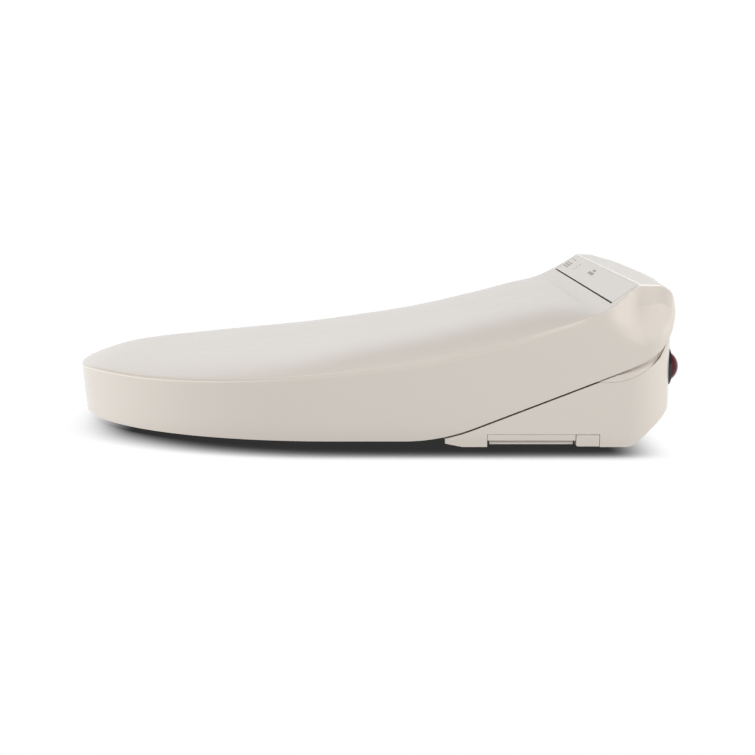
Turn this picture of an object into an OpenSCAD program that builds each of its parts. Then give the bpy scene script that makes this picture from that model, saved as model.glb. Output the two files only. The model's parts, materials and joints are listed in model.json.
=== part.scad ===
// Electric bidet seat: a body with wash wands, dryer and deodoriser, a heated
// seat ring and a full-cover lid, both turning on one hinge line.
// Origin: midway between the two mounting bolts, at the base plate's underside.
// -Y is the front (nose), +Z is up.

/* [Lid] */
// Width across the creases at the lid's sides
lid_w = 390; // [384:1:396]
// Distance from the bolt line forward to the lid's nose
lid_nose = 474.3; // [466:0.1:482]
// Wall of the moulded lid
lid_wall = 2.2; // [1.8:0.1:2.4]
// Height of the lid's skirt above the bowl
skirt_z = 4.5; // [3.5:0.5:5.5]
// Inward draft of the skirt from crease to bottom edge
skirt_draft = 4; // [2:0.5:5]

/* [Seat] */
// Distance from the bolt line forward to the front of the seat ring
seat_nose = 463; // [455:1:464]
// Half-width of the opening in the ring
opening_a = 106; // [98:1:112]
// Distance from the bolt line to the front of the opening
opening_nose = 397; // [385:1:402]
// Distance from the bolt line to the back of the opening
opening_tail = 147; // [143:1:155]
// Height of the seat's rubber bumpers under the ring
bumper_h = 6; // [5:0.5:7]

/* [Body] */
// Position of the body's rear wall behind the bolt line
body_rear = 59.3; // [58.5:0.1:61]
// Radius of the body's rear corners seen from above
corner_r = 40; // [34:1:44]
// Wall of the moulded body cover
body_wall = 2.6; // [2:0.1:3]

/* [Hinge] */
// Distance of the hinge line behind the bolt line
hinge_y = 1.5; // [1:0.1:2]
// Height of the hinge line
hinge_z = 111.5; // [111:0.1:112]
// Radius of the steel hinge pins
pin_r = 1.75; // [1.5:0.05:1.9]
// Radius of the eyes round the pins
eye_r = 3.1; // [2.9:0.05:3.2]
// Radial running clearance of the eyes on the pins
pin_gap = 0.05; // [0.02:0.01:0.09]

/* [Mounting] */
// Distance between the two mounting bolts
bolt_pitch = 140; // [130:1:155]
// Radius of the mounting slots
slot_r = 4.5; // [4:0.25:5]
// End-to-end length of each mounting slot
slot_len = 30; // [20:1:36]
// Thickness of the base plate
plate_t = 5; // [4:0.5:5.5]

/* [Wands] */
// Radius of the wash wands
wand_r = 6.5; // [5.5:0.25:7]
// Length of a wash wand
wand_len = 112; // [104:1:114]
// Distance between the two wands
wand_pitch = 19; // [17:0.5:22]
// Downward slope of the wands
wand_slope = 28; // [25:1:30]

/* [Hidden] */

// ---- small geometry helpers ----
function arc(c, r, a0, a1, n) = [for (i = [0:n]) let(a = a0 + (a1 - a0) * i / n) c + r * [cos(a), sin(a)]];
function clamp01(t) = min(1, max(0, t));
function ease(t) = let(u = clamp01(t)) u * u * (3 - 2 * u);
// Smooth curve through [place, value] points, straight outside them
function spline(y, p) = let(
        n = len(p),
        i = max([for (k = [0:n - 2]) if (k == 0 || y >= p[k][0]) k]),
        a = p[i], b = p[i + 1], h = b[0] - a[0], t = (y - a[0]) / h,
        ma = i == 0 ? (b[1] - a[1]) / h : (b[1] - p[i - 1][1]) / (b[0] - p[i - 1][0]),
        mb = i == n - 2 ? (b[1] - a[1]) / h : (p[i + 2][1] - a[1]) / (p[i + 2][0] - a[0]))
    (1 + 2 * t) * pow(1 - t, 2) * a[1] + t * pow(1 - t, 2) * h * ma
    + t * t * (3 - 2 * t) * b[1] + t * t * (t - 1) * h * mb;
// A side profile of [y, z] points carried along X
module along_x(x0, x1) translate([x0, 0, 0]) rotate([90, 0, 90]) linear_extrude(x1 - x0) children();
module cyl_x(x0, x1, r) translate([x0, 0, 0]) rotate([0, 90, 0]) cylinder(h = x1 - x0, r = r, $fn = 48);
module cyl_y(y0, y1, r) translate([0, y0, 0]) rotate([-90, 0, 0]) cylinder(h = y1 - y0, r = r, $fn = 48);
module at_hinge() translate([0, hinge_y, hinge_z]) children();
module mirrored() { children(); mirror([1, 0, 0]) children(); }
// Skin of equal closed rings, each a list of points, with fan-shaped end caps;
// every quad is split along its shorter diagonal, so stacked skins meet without gaps
module skin(rings, closed = false) {
    n = len(rings[0]);
    m = len(rings);
    mid = function(r) [for (k = [0:2]) ([for (p = r) 1] * [for (p = r) p[k]]) / n];
    pts = concat([for (r = rings) each r], closed ? [] : [mid(rings[0]), mid(rings[m - 1])]);
    last = closed ? m - 1 : m - 2;
    sides = [for (i = [0:last]) for (j = [0:n - 1])
        let(a = i * n + j, b = i * n + (j + 1) % n, c = ((i + 1) % m) * n + (j + 1) % n,
            d = ((i + 1) % m) * n + j)
        each norm(pts[a] - pts[c]) < norm(pts[b] - pts[d]) ? [[a, b, c], [a, c, d]] : [[a, b, d], [b, c, d]]];
    caps = closed ? [] : [for (j = [0:n - 1]) each
        [[m * n, (j + 1) % n, j], [m * n + 1, (m - 1) * n + j, (m - 1) * n + (j + 1) % n]]];
    polyhedron(points = pts, faces = concat(sides, caps), convexity = 6);
}

// ---- the form that lid and body share ----
lid_a = lid_w / 2;
// Half-widths kept inside the lid: seat ring, flanks, deck between the arms, core between the seat's ears
seat_a = lid_a - 12;
body_half = lid_a - 2.5;
deck_half = lid_a - 20.8;
core_half = deck_half - 15.2;
mid_y = -230;
lid_b = lid_nose + mid_y;
gap_y = 4.9;
panel_y = 6.5;
panel_z = 119.6;
ridge_y = 29;
ridge_z = 135.2;
deck_fall = 0.05;
arm_half = deck_half + 1.2;
rim_slope = 0.3916;
rim_z0 = 58.4;
rim_gap = 1.5;
rim_fillet = 160;
arm_c = [13.2, 113];
arm_r = 44.6;
blend_r = 100;
recess_r = 57;
channel_r = 9.3;
foot_front = -133.4;
slope_a = atan(rim_slope);
function rim_z(y) = rim_z0 + rim_slope * y;

// Height of the crease along the lid's side
crease_pts = [[-475, 46.3], [-445, 51.3], [-380, 53], [-300, 56.8], [-220, 63], [-150, 71.6], [-90, 85.2],
    [-40, 100.6], [-6, 112.8], [panel_y, panel_z]];
function crease_z(y) = y < panel_y ? spline(y, crease_pts)
    : y < ridge_y ? panel_z + (y - panel_y) * (ridge_z - panel_z) / (ridge_y - panel_y)
    : ridge_z - deck_fall * (y - ridge_y);
// How far the lid's middle stands above its creases
crown_pts = [[-475, 5.5], [-380, 5.5], [-276, 7], [-200, 13], [-120, 16], [-50, 13], [-15, 5], [-8, 1.7],
    [gap_y, 0.1], [60, 0]];
function crown(y) = max(0, spline(y, crown_pts));
// The crease leaves the flank and runs inwards over the arm
function crease_in(y) = (lid_a - arm_half - 3) * ease((y + 6) / (ridge_y + 6));
function arm_fall(y) = 8 + 28 * ease((y + 6) / 52);

// One half ring of the lid: k and c are sine and cosine round the nose, dy runs back from it
function lid_half(k, c, dy, g, low) = let(
        a = lid_a - g, b = lid_b - g,
        y = mid_y - b * c + dy,
        yb = mid_y - (b - skirt_draft) * c + dy,
        zc = crease_z(mid_y - lid_b * c + dy) - g,
        xc = (a - crease_in(y)) * k,
        xs = a * k, xb = (a - skirt_draft) * k,
        fall = arm_fall(y), zf = zc - fall, zm = zc - 0.38 * fall,
        f = (zf - low) / (zc - low), fm = (zm - low) / (zc - low),
        rnd = min(1.6, xc / 3))
    concat([[xb, yb, low],
            [xb + (xs - xb) * f, yb + (y - yb) * f, zf],
            [xc + 0.3 * (xb + (xs - xb) * fm - xc), yb + (y - yb) * fm, zm],
            [xc, y, zc - rnd]],
        [for (u = [1:-0.125:0]) let(x = (xc - rnd) * u)
            [x, y, zc + crown(y) * (1 - pow(norm([u * k, c]), 5))]]);
function lid_ring(k, c, dy, g, low) = let(h = lid_half(k, c, dy, g, low), n = len(h))
    concat(h, [for (i = [n - 2:-1:0]) [-h[i][0], h[i][1], h[i][2]]]);
lid_back = 64;
lid_stations = concat([for (t = [0.6, 3, 6.5, each [11:5.5:88], 90]) [sin(t), cos(t), 0]],
    [for (y = [22, 44, 66, 88, 110, 130, 148, 164, 178, 190, 200, 208, 215, 221, 226, 231, 236.5, 242, 247.5, 253,
        259, 266, 274, 282, lid_back - mid_y])
        [1, 0, y]]);
function lid_rings(g, low) = [for (s = lid_stations) lid_ring(s[0], s[1], s[2], g, low)];

// Side outline under which the lid is cut: skirt, rising rim and round arm
fillet_y = (skirt_z - rim_z0) / rim_slope;
fillet_t = rim_fillet * tan(slope_a / 2);
arm_a1 = 22;
// The arm's lower edge leaves the rim on a wide arc and turns into the arm's own round
rim_along = [cos(slope_a), sin(slope_a)];
rim_up = [-sin(slope_a), cos(slope_a)];
arm_lift = (arm_c[1] - rim_z(arm_c[0])) * cos(slope_a);
blend_c = arm_c + (blend_r - arm_lift) * rim_up
    - sqrt(pow(blend_r - arm_r, 2) - pow(blend_r - arm_lift, 2)) * rim_along;
blend_a = atan2(arm_c[1] - blend_c[1], arm_c[0] - blend_c[0]);
function arm_edge(g, end) = concat(arc(blend_c, blend_r - g, -90 + slope_a, blend_a, 4),
    arc(arm_c, arm_r - g, blend_a, end, 18));
function lid_outline(g) = concat(
    [[-lid_nose - 10, skirt_z]],
    arc([fillet_y - fillet_t, skirt_z + rim_fillet], rim_fillet, -90, -90 + slope_a, 8),
    arm_edge(g, arm_a1),
    [[44, ridge_z + 6], [-40, ridge_z + 40], [-lid_nose - 10, ridge_z + 40]]);
arm_corner = 34;
arm_rear = 62;
module lid_plan(g) {
    c = [lid_a - arm_corner, arm_rear - arm_corner];
    right = concat([[lid_a + 5, -lid_nose - 10], [lid_a + 5, c[1]]], arc(c, arm_corner - g, 0, 90, 20));
    polygon(concat(right, [for (i = [len(right) - 1:-1:0]) [-right[i][0], right[i][1]]]));
}
lid_colour = [0.86, 0.83, 0.79];
module lid_shell() color(lid_colour) difference() {
    intersection() {
        skin(lid_rings(0, 0));
        along_x(-lid_a - 5, lid_a + 5) polygon(lid_outline(0));
        linear_extrude(200) lid_plan(0);
    }
    difference() {
        intersection() {
            skin(lid_rings(lid_wall, -2));
            union() {
                along_x(-lid_a, lid_a) polygon([[-lid_nose, -10], [-20, -10], [-20, 200], [-lid_nose, 200]]);
                along_x(-arm_half, arm_half) polygon([[-21, -10], [30, -10], [30, 200], [-21, 200]]);
                along_x(-lid_a, lid_a) polygon(concat([[-21, rim_z(-21) - 9], [-8, rim_z(-8) + lid_wall]],
                    arm_edge(lid_wall, arm_a1 - 2), [[42, 200], [-21, 200]]));
            }
            linear_extrude(200) lid_plan(lid_wall);
        }
        mirrored() at_hinge() cyl_x(arm_half, lid_a, 6.5);
        mirrored() translate([arm_half, -20, 0]) cube([2, 100, 200]);
    }
    translate([-arm_half, gap_y, -1]) cube([2 * arm_half, 100, 200]);
    mirrored() at_hinge() cyl_x(arm_half - 1, arm_half + 11, pin_r + pin_gap);
    // pocket over the seat's ears and the body's cheeks
    mirrored() along_x(cheek_in - 0.8, ear_x1 + 0.8) polygon(concat(
        [[-20, 98], [-20, ear_arc[0][1] - ear_rise * (ear_arc[0][0] + 20)]], ear_arc,
        [[hinge_y + eye_r, 98]]));
}
ear_rise = 0.546;
ear_arc = arc([hinge_y, hinge_z], eye_r + 0.6, 118, 0, 8);
bumper_y = -400;
bumper_x = 118;
module lid_bumper(s) color("gainsboro") translate([s * bumper_x, bumper_y, 0]) {
    reach = norm([bumper_x / lid_a, (mid_y - bumper_y) / lid_b]);
    under = crease_z(bumper_y) - lid_wall + crown(bumper_y) * (1 - pow(reach, 5));
    foot = seat_z(bumper_y) + 0.6;
    translate([0, 0, foot]) cylinder(h = under - 1.4 - foot, r = 6, $fn = 40);
    translate([0, 0, foot]) cylinder(h = under - 0.6 - foot, r = 2.2, $fn = 32);
}
module lid_bumper_1() lid_bumper(1);
module lid_bumper_2() lid_bumper(-1);

// ---- seat ring ----
seat_tail = 76;
seat_mid = -230;
seat_gap = 3;
seat_top_pts = [[-463, 35], [-380, 40], [-280, 45], [-180, 52.5], [-130, 60], [-76, 74]];
function seat_z(y) = spline(y, seat_top_pts);
function seat_under(y) = let(rise = rim_z(y) - rim_gap + seat_gap)
    bumper_h + max(0, rise - bumper_h) * ease((y + 172) / 40);
function oval(t, a, bf, bt, mid, n) = let(k = sin(t), c = cos(t), e = c > 0 ? 2 : n)
    [a * sign(k) * pow(abs(k), 2 / e), mid - (c > 0 ? bf : bt) * sign(c) * pow(abs(c), 2 / e)];
open_mid = -262;
function seat_at(t, u) = let(
        o = oval(t, seat_a, seat_nose + seat_mid, -seat_tail - seat_mid, seat_mid, 5.5),
        i = oval(t, opening_a, opening_nose + open_mid, -opening_tail - open_mid, open_mid, 2.4))
    o + (i - o) * u;
// Cross-section of the ring as [share of the width, drop below the top]
seat_section = [[0, 9], [0.025, 4], [0.08, 1], [0.2, 0], [0.42, 0.3], [0.64, 2.4], [0.82, 6], [0.93, 10.5],
    [0.99, 16], [1, 20]];
function seat_ring_at(t, lo, hi) = let(
        base = [for (u = [0, 0.25, 0.5, 0.75, 1]) let(p = seat_at(t, u)) [p[0], p[1], seat_under(p[1]) + lo]])
    hi > 0
    ? concat([for (s = base) s], [for (i = [4:-1:0]) [base[i][0], base[i][1], base[i][2] + hi - lo]])
    : concat(base, [for (i = [len(seat_section) - 1:-1:0]) let(s = seat_section[i], p = seat_at(t, s[0]))
        [p[0], p[1], max(seat_z(p[1]) - s[1], seat_under(p[1]) + lo + 2)]]);
module seat_ring(lo, hi) skin([for (t = [360:-7.5:7]) seat_ring_at(t, lo, hi)], closed = true);
ear_x0 = core_half + 1.8;
ear_x1 = ear_x0 + 10;
// Rail from the back of the ring up to the hinge eye
module seat_rail() difference() {
    along_x(ear_x0, ear_x1) polygon(concat(
        [[-125, 30], [-98, 40], [-52, 66], [-9, 92], [2.5, 104]],
        arc([hinge_y, hinge_z], eye_r, -60, 118, 10),
        [[-44, 90.2], [-90, 69], [-125, 52]]));
    at_hinge() cyl_x(ear_x0 - 1, ear_x1 + 1, pin_r + pin_gap);
}
module seat_top() color("ivory") union() {
    seat_ring(3.4, 0);
    mirrored() seat_rail();
}
module seat_heater() color("orange") seat_ring(2.4, 3.4);
module seat_base() color("whitesmoke") seat_ring(0, 2.4);
module seat_bumper(sx, y) color("dimgray") {
    x = sx * (y < -300 ? 118 : 144);
    translate([x, y, 0]) cylinder(h = seat_under(y), r = 8, $fn = 40);
}
module seat_bumper_1() seat_bumper(1, -350);
module seat_bumper_2() seat_bumper(-1, -350);
module seat_bumper_3() seat_bumper(1, -205);
module seat_bumper_4() seat_bumper(-1, -205);

// ---- body ----
chamfer_z = 30.5;
chamfer_y = body_rear - 36.8;
chamfer_a = atan2(chamfer_z, body_rear - chamfer_y);
heel_r = 16;
core_front = -66;
wing_in = 150;
floor_z = 9;
floor_t = 2.6;
slot_y0 = -98.3;
slot_y1 = -4;
slot_h = 10.6;
body_colour = [0.85, 0.82, 0.78];
// Plan of the body: round rear corners, two wings either side of a bay
module body_plan(g) {
    c = [body_half - corner_r, body_rear - corner_r];
    right = concat([[wing_in + g, core_front + g], [wing_in + g, foot_front + g + 6],
        [wing_in + g + 6, foot_front + g], [body_half - g, foot_front + g], [body_half - g, c[1]]],
        arc(c, corner_r - g, 0, 90, 20));
    polygon(concat(right, [for (i = [len(right) - 1:-1:0]) [-right[i][0], right[i][1]]]));
}
// Side outline of the lower body, whose top edge runs just under the lid's rim
fillet_c = [fillet_y - fillet_t, skirt_z + rim_fillet];
border_d = (hinge_z - rim_z(hinge_y)) * cos(slope_a) + rim_gap;
function border_end(g) = -90 + slope_a - acos((border_d + g) / (recess_r + g));
function foot_angle(g) = -90 + asin((foot_front + 2 * g - fillet_c[0]) / (rim_fillet + rim_gap + g));
function flank_outline(g) = concat(
    [[foot_front + 2 * g, 2.9 + g / 4], [-119 + 2 * g, g]],
    arc([chamfer_y - heel_r * tan(chamfer_a / 2), heel_r], heel_r - g, -90, -90 + chamfer_a, 8),
    [[body_rear - g, chamfer_z + g / 2], [body_rear - g, 88 - g], [54 - g, 88 - g], [50.5 - g, 81 - g],
        [46 - g, 74 - g], [41.5 - g, 70 - g]],
    arc([hinge_y, hinge_z], recess_r + g, -52, border_end(g), 10),
    arc(fillet_c, rim_fillet + rim_gap + g, -90 + slope_a, foot_angle(g), 4));
// Side outlines of the centre body, forwards of the hinge and of the deck behind it
function core_outline(g) = [[core_front + g, g + 2], [chamfer_y - g, g + 2], [body_rear - g, chamfer_z + g],
    [body_rear - g, 108 - g], [54.5 - g, 120 - g], [52 - g, 129 - g], [48.5 - g, 133.2 - g],
    [44 - g, ridge_z - 15 * deck_fall - g], [ridge_y + g * 0.3, ridge_z - g * 1.2],
    [panel_y + g * 1.4, panel_z - g * 0.9], [12 + g, 100 - g], [-6, 98 - g], [-13, 101.2 - 1.2 * g],
    [-58 + g, 75.6 - g], [core_front + g, 67 - g]];
function deck_outline(g) = [[12 + g, g + 2], [chamfer_y - g, g + 2], [body_rear - g, chamfer_z + g],
    [body_rear - g, 108 - g], [54.5 - g, 120 - g], [52 - g, 129 - g], [48.5 - g, 133.2 - g],
    [44 - g, ridge_z - 15 * deck_fall - g], [ridge_y + g * 0.3, ridge_z - g * 1.2],
    [panel_y + g * 1.4, panel_z - g * 0.9], [12 + g, 102 - g]];
module rear_trim(g) linear_extrude(160) {
    c = [body_half - corner_r, body_rear - corner_r];
    right = concat([[body_half - g, -160], [body_half - g, c[1]]], arc(c, corner_r - g, 0, 90, 20));
    polygon(concat(right, [for (i = [len(right) - 1:-1:0]) [-right[i][0], right[i][1]]]));
}
module body_form(g) {
    intersection() {
        linear_extrude(100) body_plan(g);
        along_x(-body_half, body_half) polygon(flank_outline(g));
    }
    intersection() {
        union() {
            along_x(-core_half + g, core_half - g) polygon(core_outline(g));
            along_x(-deck_half + g, deck_half - g) polygon(deck_outline(g));
        }
        rear_trim(g);
    }
}
// Cheeks that carry the hinge pins, kept inside the sweep of the lid's rear edge
cheek_in = 149;
module hinge_cheek() difference() {
    along_x(cheek_in, core_half) polygon(concat(
        [[-30, 90], [-6, 96], [3.2, 97], [3.2, 107]],
        arc([hinge_y, hinge_z], eye_r, -58, 118, 10),
        [[-30, 95.6]]));
    at_hinge() cyl_x(cheek_in - 1, core_half + 1, pin_r);
}
panel_half = 168;
panel_t = 1.6;
panel_slope = atan((ridge_z - panel_z) / (ridge_y - panel_y));
panel_len = norm([ridge_y - panel_y, ridge_z - panel_z]);
// Frame on the sloping panel: x across, y up the slope, z out of it
module on_panel() translate([0, panel_y, panel_z]) rotate([panel_slope, 0, 0]) children();
module panel_plate(gap) on_panel() translate([0, panel_len / 2 - 1.6, -panel_t]) linear_extrude(2 * panel_t)
    round_plate(panel_half + gap, panel_len / 2 + gap, 2.4);
module round_plate(hx, hy, r) union() {
    square([2 * hx - 2 * r, 2 * hy], center = true);
    square([2 * hx, 2 * hy - 2 * r], center = true);
    for (x = [-1, 1]) for (y = [-1, 1]) translate([x * (hx - r), y * (hy - r)]) circle(r, $fn = 32);
}
port_x = -19;
port_z = 24;
wand_x = [port_x - wand_pitch / 2, port_x + wand_pitch / 2];
duct_x0 = 34;
duct_x1 = 104;
duct_z0 = 13;
duct_z1 = 29;
dome_x = 150;
dome_z = 62;
dome_r = 14;
inlet_x = -168;
inlet_y = 12;
thread_r = 10.48;
drain_y = -40;
drain_z = 15;
drain_r = 8;
gland_x = -96;
gland_z = 44;
module main_cover() color(body_colour) difference() {
    union() {
        difference() {
            body_form(0);
            body_form(body_wall);
            translate([-wing_in + 1, core_front + body_wall, -1])
                cube([2 * wing_in - 2, chamfer_y - 2 - core_front - body_wall, 12]);
            at_hinge() cyl_x(-arm_half, arm_half, channel_r);
        }
        mirrored() hinge_cheek();
    }
    panel_plate(0.15);
    // ports for the wands, the dryer and the sensor
    for (x = wand_x) wand_frame(x) cylinder(h = 60, r = wand_r + 0.6, center = true, $fn = 48);
    translate([duct_x0 + 1, core_front - 1, duct_z0 + 1]) cube([duct_x1 - duct_x0 - 2, 6, duct_z1 - duct_z0 - 2]);
    translate([dome_x, 0, dome_z]) cyl_y(body_rear - 16, body_rear + 2, dome_r + 2.05);
    translate([gland_x, 0, gland_z]) cyl_y(body_rear - 8, body_rear + 2, 6.05);
    // side slot for the filter drawer and the release button, open inlet bay at the far rear corner
    translate([body_half - 40, slot_y0, -1]) cube([50, slot_y1 - slot_y0, slot_h + 1]);
    translate([inlet_x, inlet_y, -1]) cylinder(h = 26, r = 16, $fn = 48);
    translate([0, drain_y, drain_z]) cyl_x(-body_half - 1, -body_half + 8, drain_r + 0.08);
}
module display_panel() color([0.87, 0.84, 0.8]) difference() {
    intersection() {
        panel_plate(0);
        body_form(0);
    }
    at_hinge() cyl_x(-arm_half, arm_half, channel_r);
    lens_set(0.05);
}
// Status lights: three columns of bars, thin marks beside them, a window and its lamp;
// each is [place across, place up the slope, half-width, half-height]
lens_cells = concat(
    [for (x = [-163, -152, -141]) for (y = [8.2, 11, 13.8]) [x, y, 3.4, 0.7]],
    [for (y = [10, 13.5, 17]) [-101, y, 3, 0.35]],
    [for (x = [-160, -145]) [x, 19.6, 5, 0.35]],
    [[-16, 14.4, 13, 1.4], [-15.5, 18.5, 5.5, 1.2]]);
module lens_set(gap) on_panel() for (c = lens_cells) translate([c[0], c[1], -0.6 - gap])
    linear_extrude(0.8 + gap) round_plate(c[2] + gap, c[3] + gap, 0.3);
module indicator_lens() color("dimgray") lens_set(0);
module sensor_bezel() color("black") translate([dome_x, 0, dome_z]) difference() {
    union() {
        cyl_y(body_rear - 15, body_rear + 1, dome_r + 2);
        cyl_y(body_rear - 9, body_rear - 6, dome_r + 3);
    }
    cyl_y(body_rear - 12, body_rear + 2, dome_r + 0.1);
}
module sensor_dome() color([0.35, 0.02, 0.05]) translate([dome_x, 0, dome_z]) intersection() {
    translate([0, body_rear - 5, 0]) sphere(dome_r, $fn = 64);
    cyl_y(body_rear - 12, body_rear + 20, dome_r - 0.2);
}
module hinge_pin(s) color("silver") mirror([s < 0 ? 1 : 0, 0, 0]) at_hinge()
    cyl_x(cheek_in + 0.5, arm_half + 10, pin_r);
module hinge_pin_left() hinge_pin(-1);
module hinge_pin_right() hinge_pin(1);

// ---- base plate and floor ----
plate_x = 108;
plate_y0 = -34;
plate_y1 = 17.5;
module base_plate() color("lightgray") difference() {
    translate([0, (plate_y0 + plate_y1) / 2, 0]) linear_extrude(plate_t)
        round_plate(plate_x, (plate_y1 - plate_y0) / 2, 8);
    for (s = [-1, 1]) translate([s * bolt_pitch / 2, 0, -1]) {
        for (e = [-1, 1]) translate([e * (slot_len / 2 - slot_r), 0, 0]) cylinder(h = 20, r = slot_r, $fn = 48);
        translate([-slot_len / 2 + slot_r, -slot_r, 0]) cube([slot_len - 2 * slot_r, 2 * slot_r, 20]);
    }
    for (x = [-32:16:32]) translate([x - 5, -22, plate_t - 2]) cube([10, 32, 4]);
    translate([latch_x0 - 5, latch_y - latch_w / 2 - 0.8, latch_z - 0.5]) cube([40, latch_w + 1.6, 10]);
}
plate_gap = 0.3;
rim_half = 29.2;
post_spots = [[-142, 15.5], [-62, -54], [-30, 15.5], [116, 15.5], [114, -40]];
module bottom_case() color("gray") difference() {
    union() {
        translate([-wing_in + 1.4, core_front + body_wall + 0.4, floor_z - floor_t])
            cube([2 * wing_in - 2.8, chamfer_y - core_front - body_wall - 2, floor_t]);
        // rim that stands on the bowl round the base plate
        translate([0, (plate_y0 + plate_y1) / 2 - 1, 0.4]) linear_extrude(floor_z - floor_t - 0.4) difference() {
            round_plate(wing_in - 1.4, rim_half, 6);
            round_plate(wing_in - 3.4, rim_half - 2, 5);
        }
        // runners that hold the base plate's edges
        for (s = [-1, 1]) translate([s * (plate_x + 2.2) - 1.5, plate_y0, plate_t + plate_gap - 3])
            cube([3, plate_y1 - plate_y0, floor_z - floor_t - plate_t - plate_gap + 3.2]);
        // posts for the cover's screws
        for (p = post_spots) translate([p[0], p[1], floor_z - 0.1]) cylinder(h = 9, r = 4, $fn = 32);
    }
    translate([latch_x0 - 4, latch_y - latch_w / 2 - 1, latch_z - 0.6])
        cube([60, latch_w + 2, latch_t + 1.2]);
    for (p = post_spots) translate([p[0], p[1], floor_z]) cylinder(h = 12, r = 1.5, $fn = 32);
    translate([wing_in - 24, slot_y0, -1]) cube([40, slot_y1 - slot_y0 + 0.6, 20]);
    for (p = foot_spots) translate([p[0], p[1], floor_z - floor_t - 0.1]) cylinder(h = 1.1, r = 3.05, $fn = 32);
}
foot_spots = [[-128, -50], [116, -53], [-128, 8], [128, 8]];
module foot_pad(i) color("dimgray") translate([foot_spots[i][0], foot_spots[i][1], 0]) {
    cylinder(h = floor_z - floor_t, r = 8, $fn = 40);
    cylinder(h = floor_z - floor_t + 0.9, r = 3, $fn = 32);
}
module foot_pad_1() foot_pad(0);
module foot_pad_2() foot_pad(1);
module foot_pad_3() foot_pad(2);
module foot_pad_4() foot_pad(3);

// ---- wash wands ----
// Frame on a wand's axis: origin at its port, z forwards and down along the slide
module wand_frame(x) translate([x, core_front, port_z]) rotate([90 + wand_slope, 0, 0]) children();
rack_m = 1;
rack_teeth = 30;
pinion_teeth = 14;
pinion_r = rack_m * pinion_teeth / 2;
rack_pitch_y = wand_r - 1.3;
rack_root = 1.2;
rack_tip = 0.9;
rack_w = 4;
tooth_clear = 0.25;
rack_z0 = 1 - wand_len;
pinion_z = -30;
pinion_y = rack_pitch_y + pinion_r + tooth_clear;
// One rack tooth: a trapezium with its flanks at 20 degrees
function rack_tooth(p) = let(w = PI * rack_m / 2 - 0.12)
    [[p - w / 2 - rack_root * tan(20), -rack_root - 0.1], [p + w / 2 + rack_root * tan(20), -rack_root - 0.1],
        [p + w / 2 - rack_tip * tan(20), rack_tip], [p - w / 2 + rack_tip * tan(20), rack_tip]];
module wand(x) wand_frame(x) difference() {
    union() {
        difference() {
            translate([0, 0, -wand_len - 3]) cylinder(h = wand_len, r = wand_r, $fn = 48);
            translate([-wand_r, rack_pitch_y - rack_root, rack_z0]) cube([2 * wand_r, 10, rack_len]);
        }
        // rack along the top of the wand
        translate([-rack_w / 2, 0, 0]) rotate([90, 0, 90]) linear_extrude(rack_w)
            for (i = [0:rack_teeth - 1])
                polygon([for (q = rack_tooth(rack_z0 + (i + 0.5) * PI * rack_m)) [rack_pitch_y + q[1], q[0]]]);
    }
    translate([0, 0, -wand_len - 4]) cylinder(h = wand_len - 10, r = 3, $fn = 32);
    translate([0, 0, -13]) cylinder(h = 20, r = 4, $fn = 32);
}
rack_len = rack_teeth * PI * rack_m;
module wand_tip(x, holes) wand_frame(x) difference() {
    union() {
        translate([0, 0, -12.9]) cylinder(h = 10, r = 4, $fn = 32);
        translate([0, 0, -2.9]) cylinder(h = 3, r = wand_r, $fn = 48);
        translate([0, 0, 0]) intersection() {
            translate([0, 0, -6]) sphere(sqrt(36 + wand_r * wand_r), $fn = 48);
            cylinder(h = 9, r = wand_r, $fn = 48);
        }
    }
    for (h = holes) translate([h[0], 0, -h[1]]) rotate([90, 0, 0]) cylinder(h = 20, r = 0.55, $fn = 24);
}
module cleansing_wand() color("white") wand(wand_x[0]);
module cleansing_tip() color("lightgray") wand_tip(wand_x[0], [[0, 1.2]]);
module bidet_wand() color("white") wand(wand_x[1]);
module bidet_tip() color("lightgray") wand_tip(wand_x[1], [[-2, 1.2], [0, 1.2], [2, 1.2]]);
// Pinion with trapezoidal teeth; its shaft runs out to side s, into the motor
shaft_r = 1.5;
motor_in = wand_r + 0.9;
motor_t = 12;
motor_r = 11;
module at_pinion(x) wand_frame(x) translate([0, pinion_y, pinion_z]) children();
// A gap between two pinion teeth faces the rack tooth that stands nearest to it
rack_near = (pinion_z - rack_z0) / (PI * rack_m) - 0.5;
rack_step = (rack_near - round(rack_near)) * PI * rack_m;
pinion_phase = rack_step / pinion_r * 180 / PI;
module pinion(x, s) at_pinion(x) rotate([90, 0, 90]) {
    pitch = 360 / pinion_teeth;
    linear_extrude(rack_w + 0.6, center = true) union() {
        circle(pinion_r - 1.15, $fn = 48);
        for (i = [0:pinion_teeth - 1]) rotate(180 + (i + 0.5) * pitch + pinion_phase)
            polygon([[pinion_r - 1.7, -1.15], [pinion_r, -0.7], [pinion_r + 0.8, -0.35],
                [pinion_r + 0.8, 0.35], [pinion_r, 0.7], [pinion_r - 1.7, 1.15]]);
    }
    translate([0, 0, s > 0 ? 0 : -motor_in - 6]) cylinder(h = motor_in + 6, r = shaft_r, $fn = 32);
}
module wand_pinion_a() color("gold") pinion(wand_x[0], -1);
module wand_pinion_b() color("gold") pinion(wand_x[1], 1);
module motor(x, s) at_pinion(x) difference() {
    union() {
        cyl_x(s > 0 ? motor_in : -motor_in - motor_t, s > 0 ? motor_in + motor_t : -motor_in, motor_r);
        translate([s * (motor_in + motor_t / 2), 4, 0]) cube([motor_t - 3, 2 * motor_r - 2, 9], center = true);
    }
    cyl_x(s > 0 ? motor_in - 1 : -motor_in - 8, s > 0 ? motor_in + 8 : -motor_in + 1, shaft_r + 0.05);
}
module wand_motor_a() color("silver") motor(wand_x[0], -1);
module wand_motor_b() color("silver") motor(wand_x[1], 1);
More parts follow.
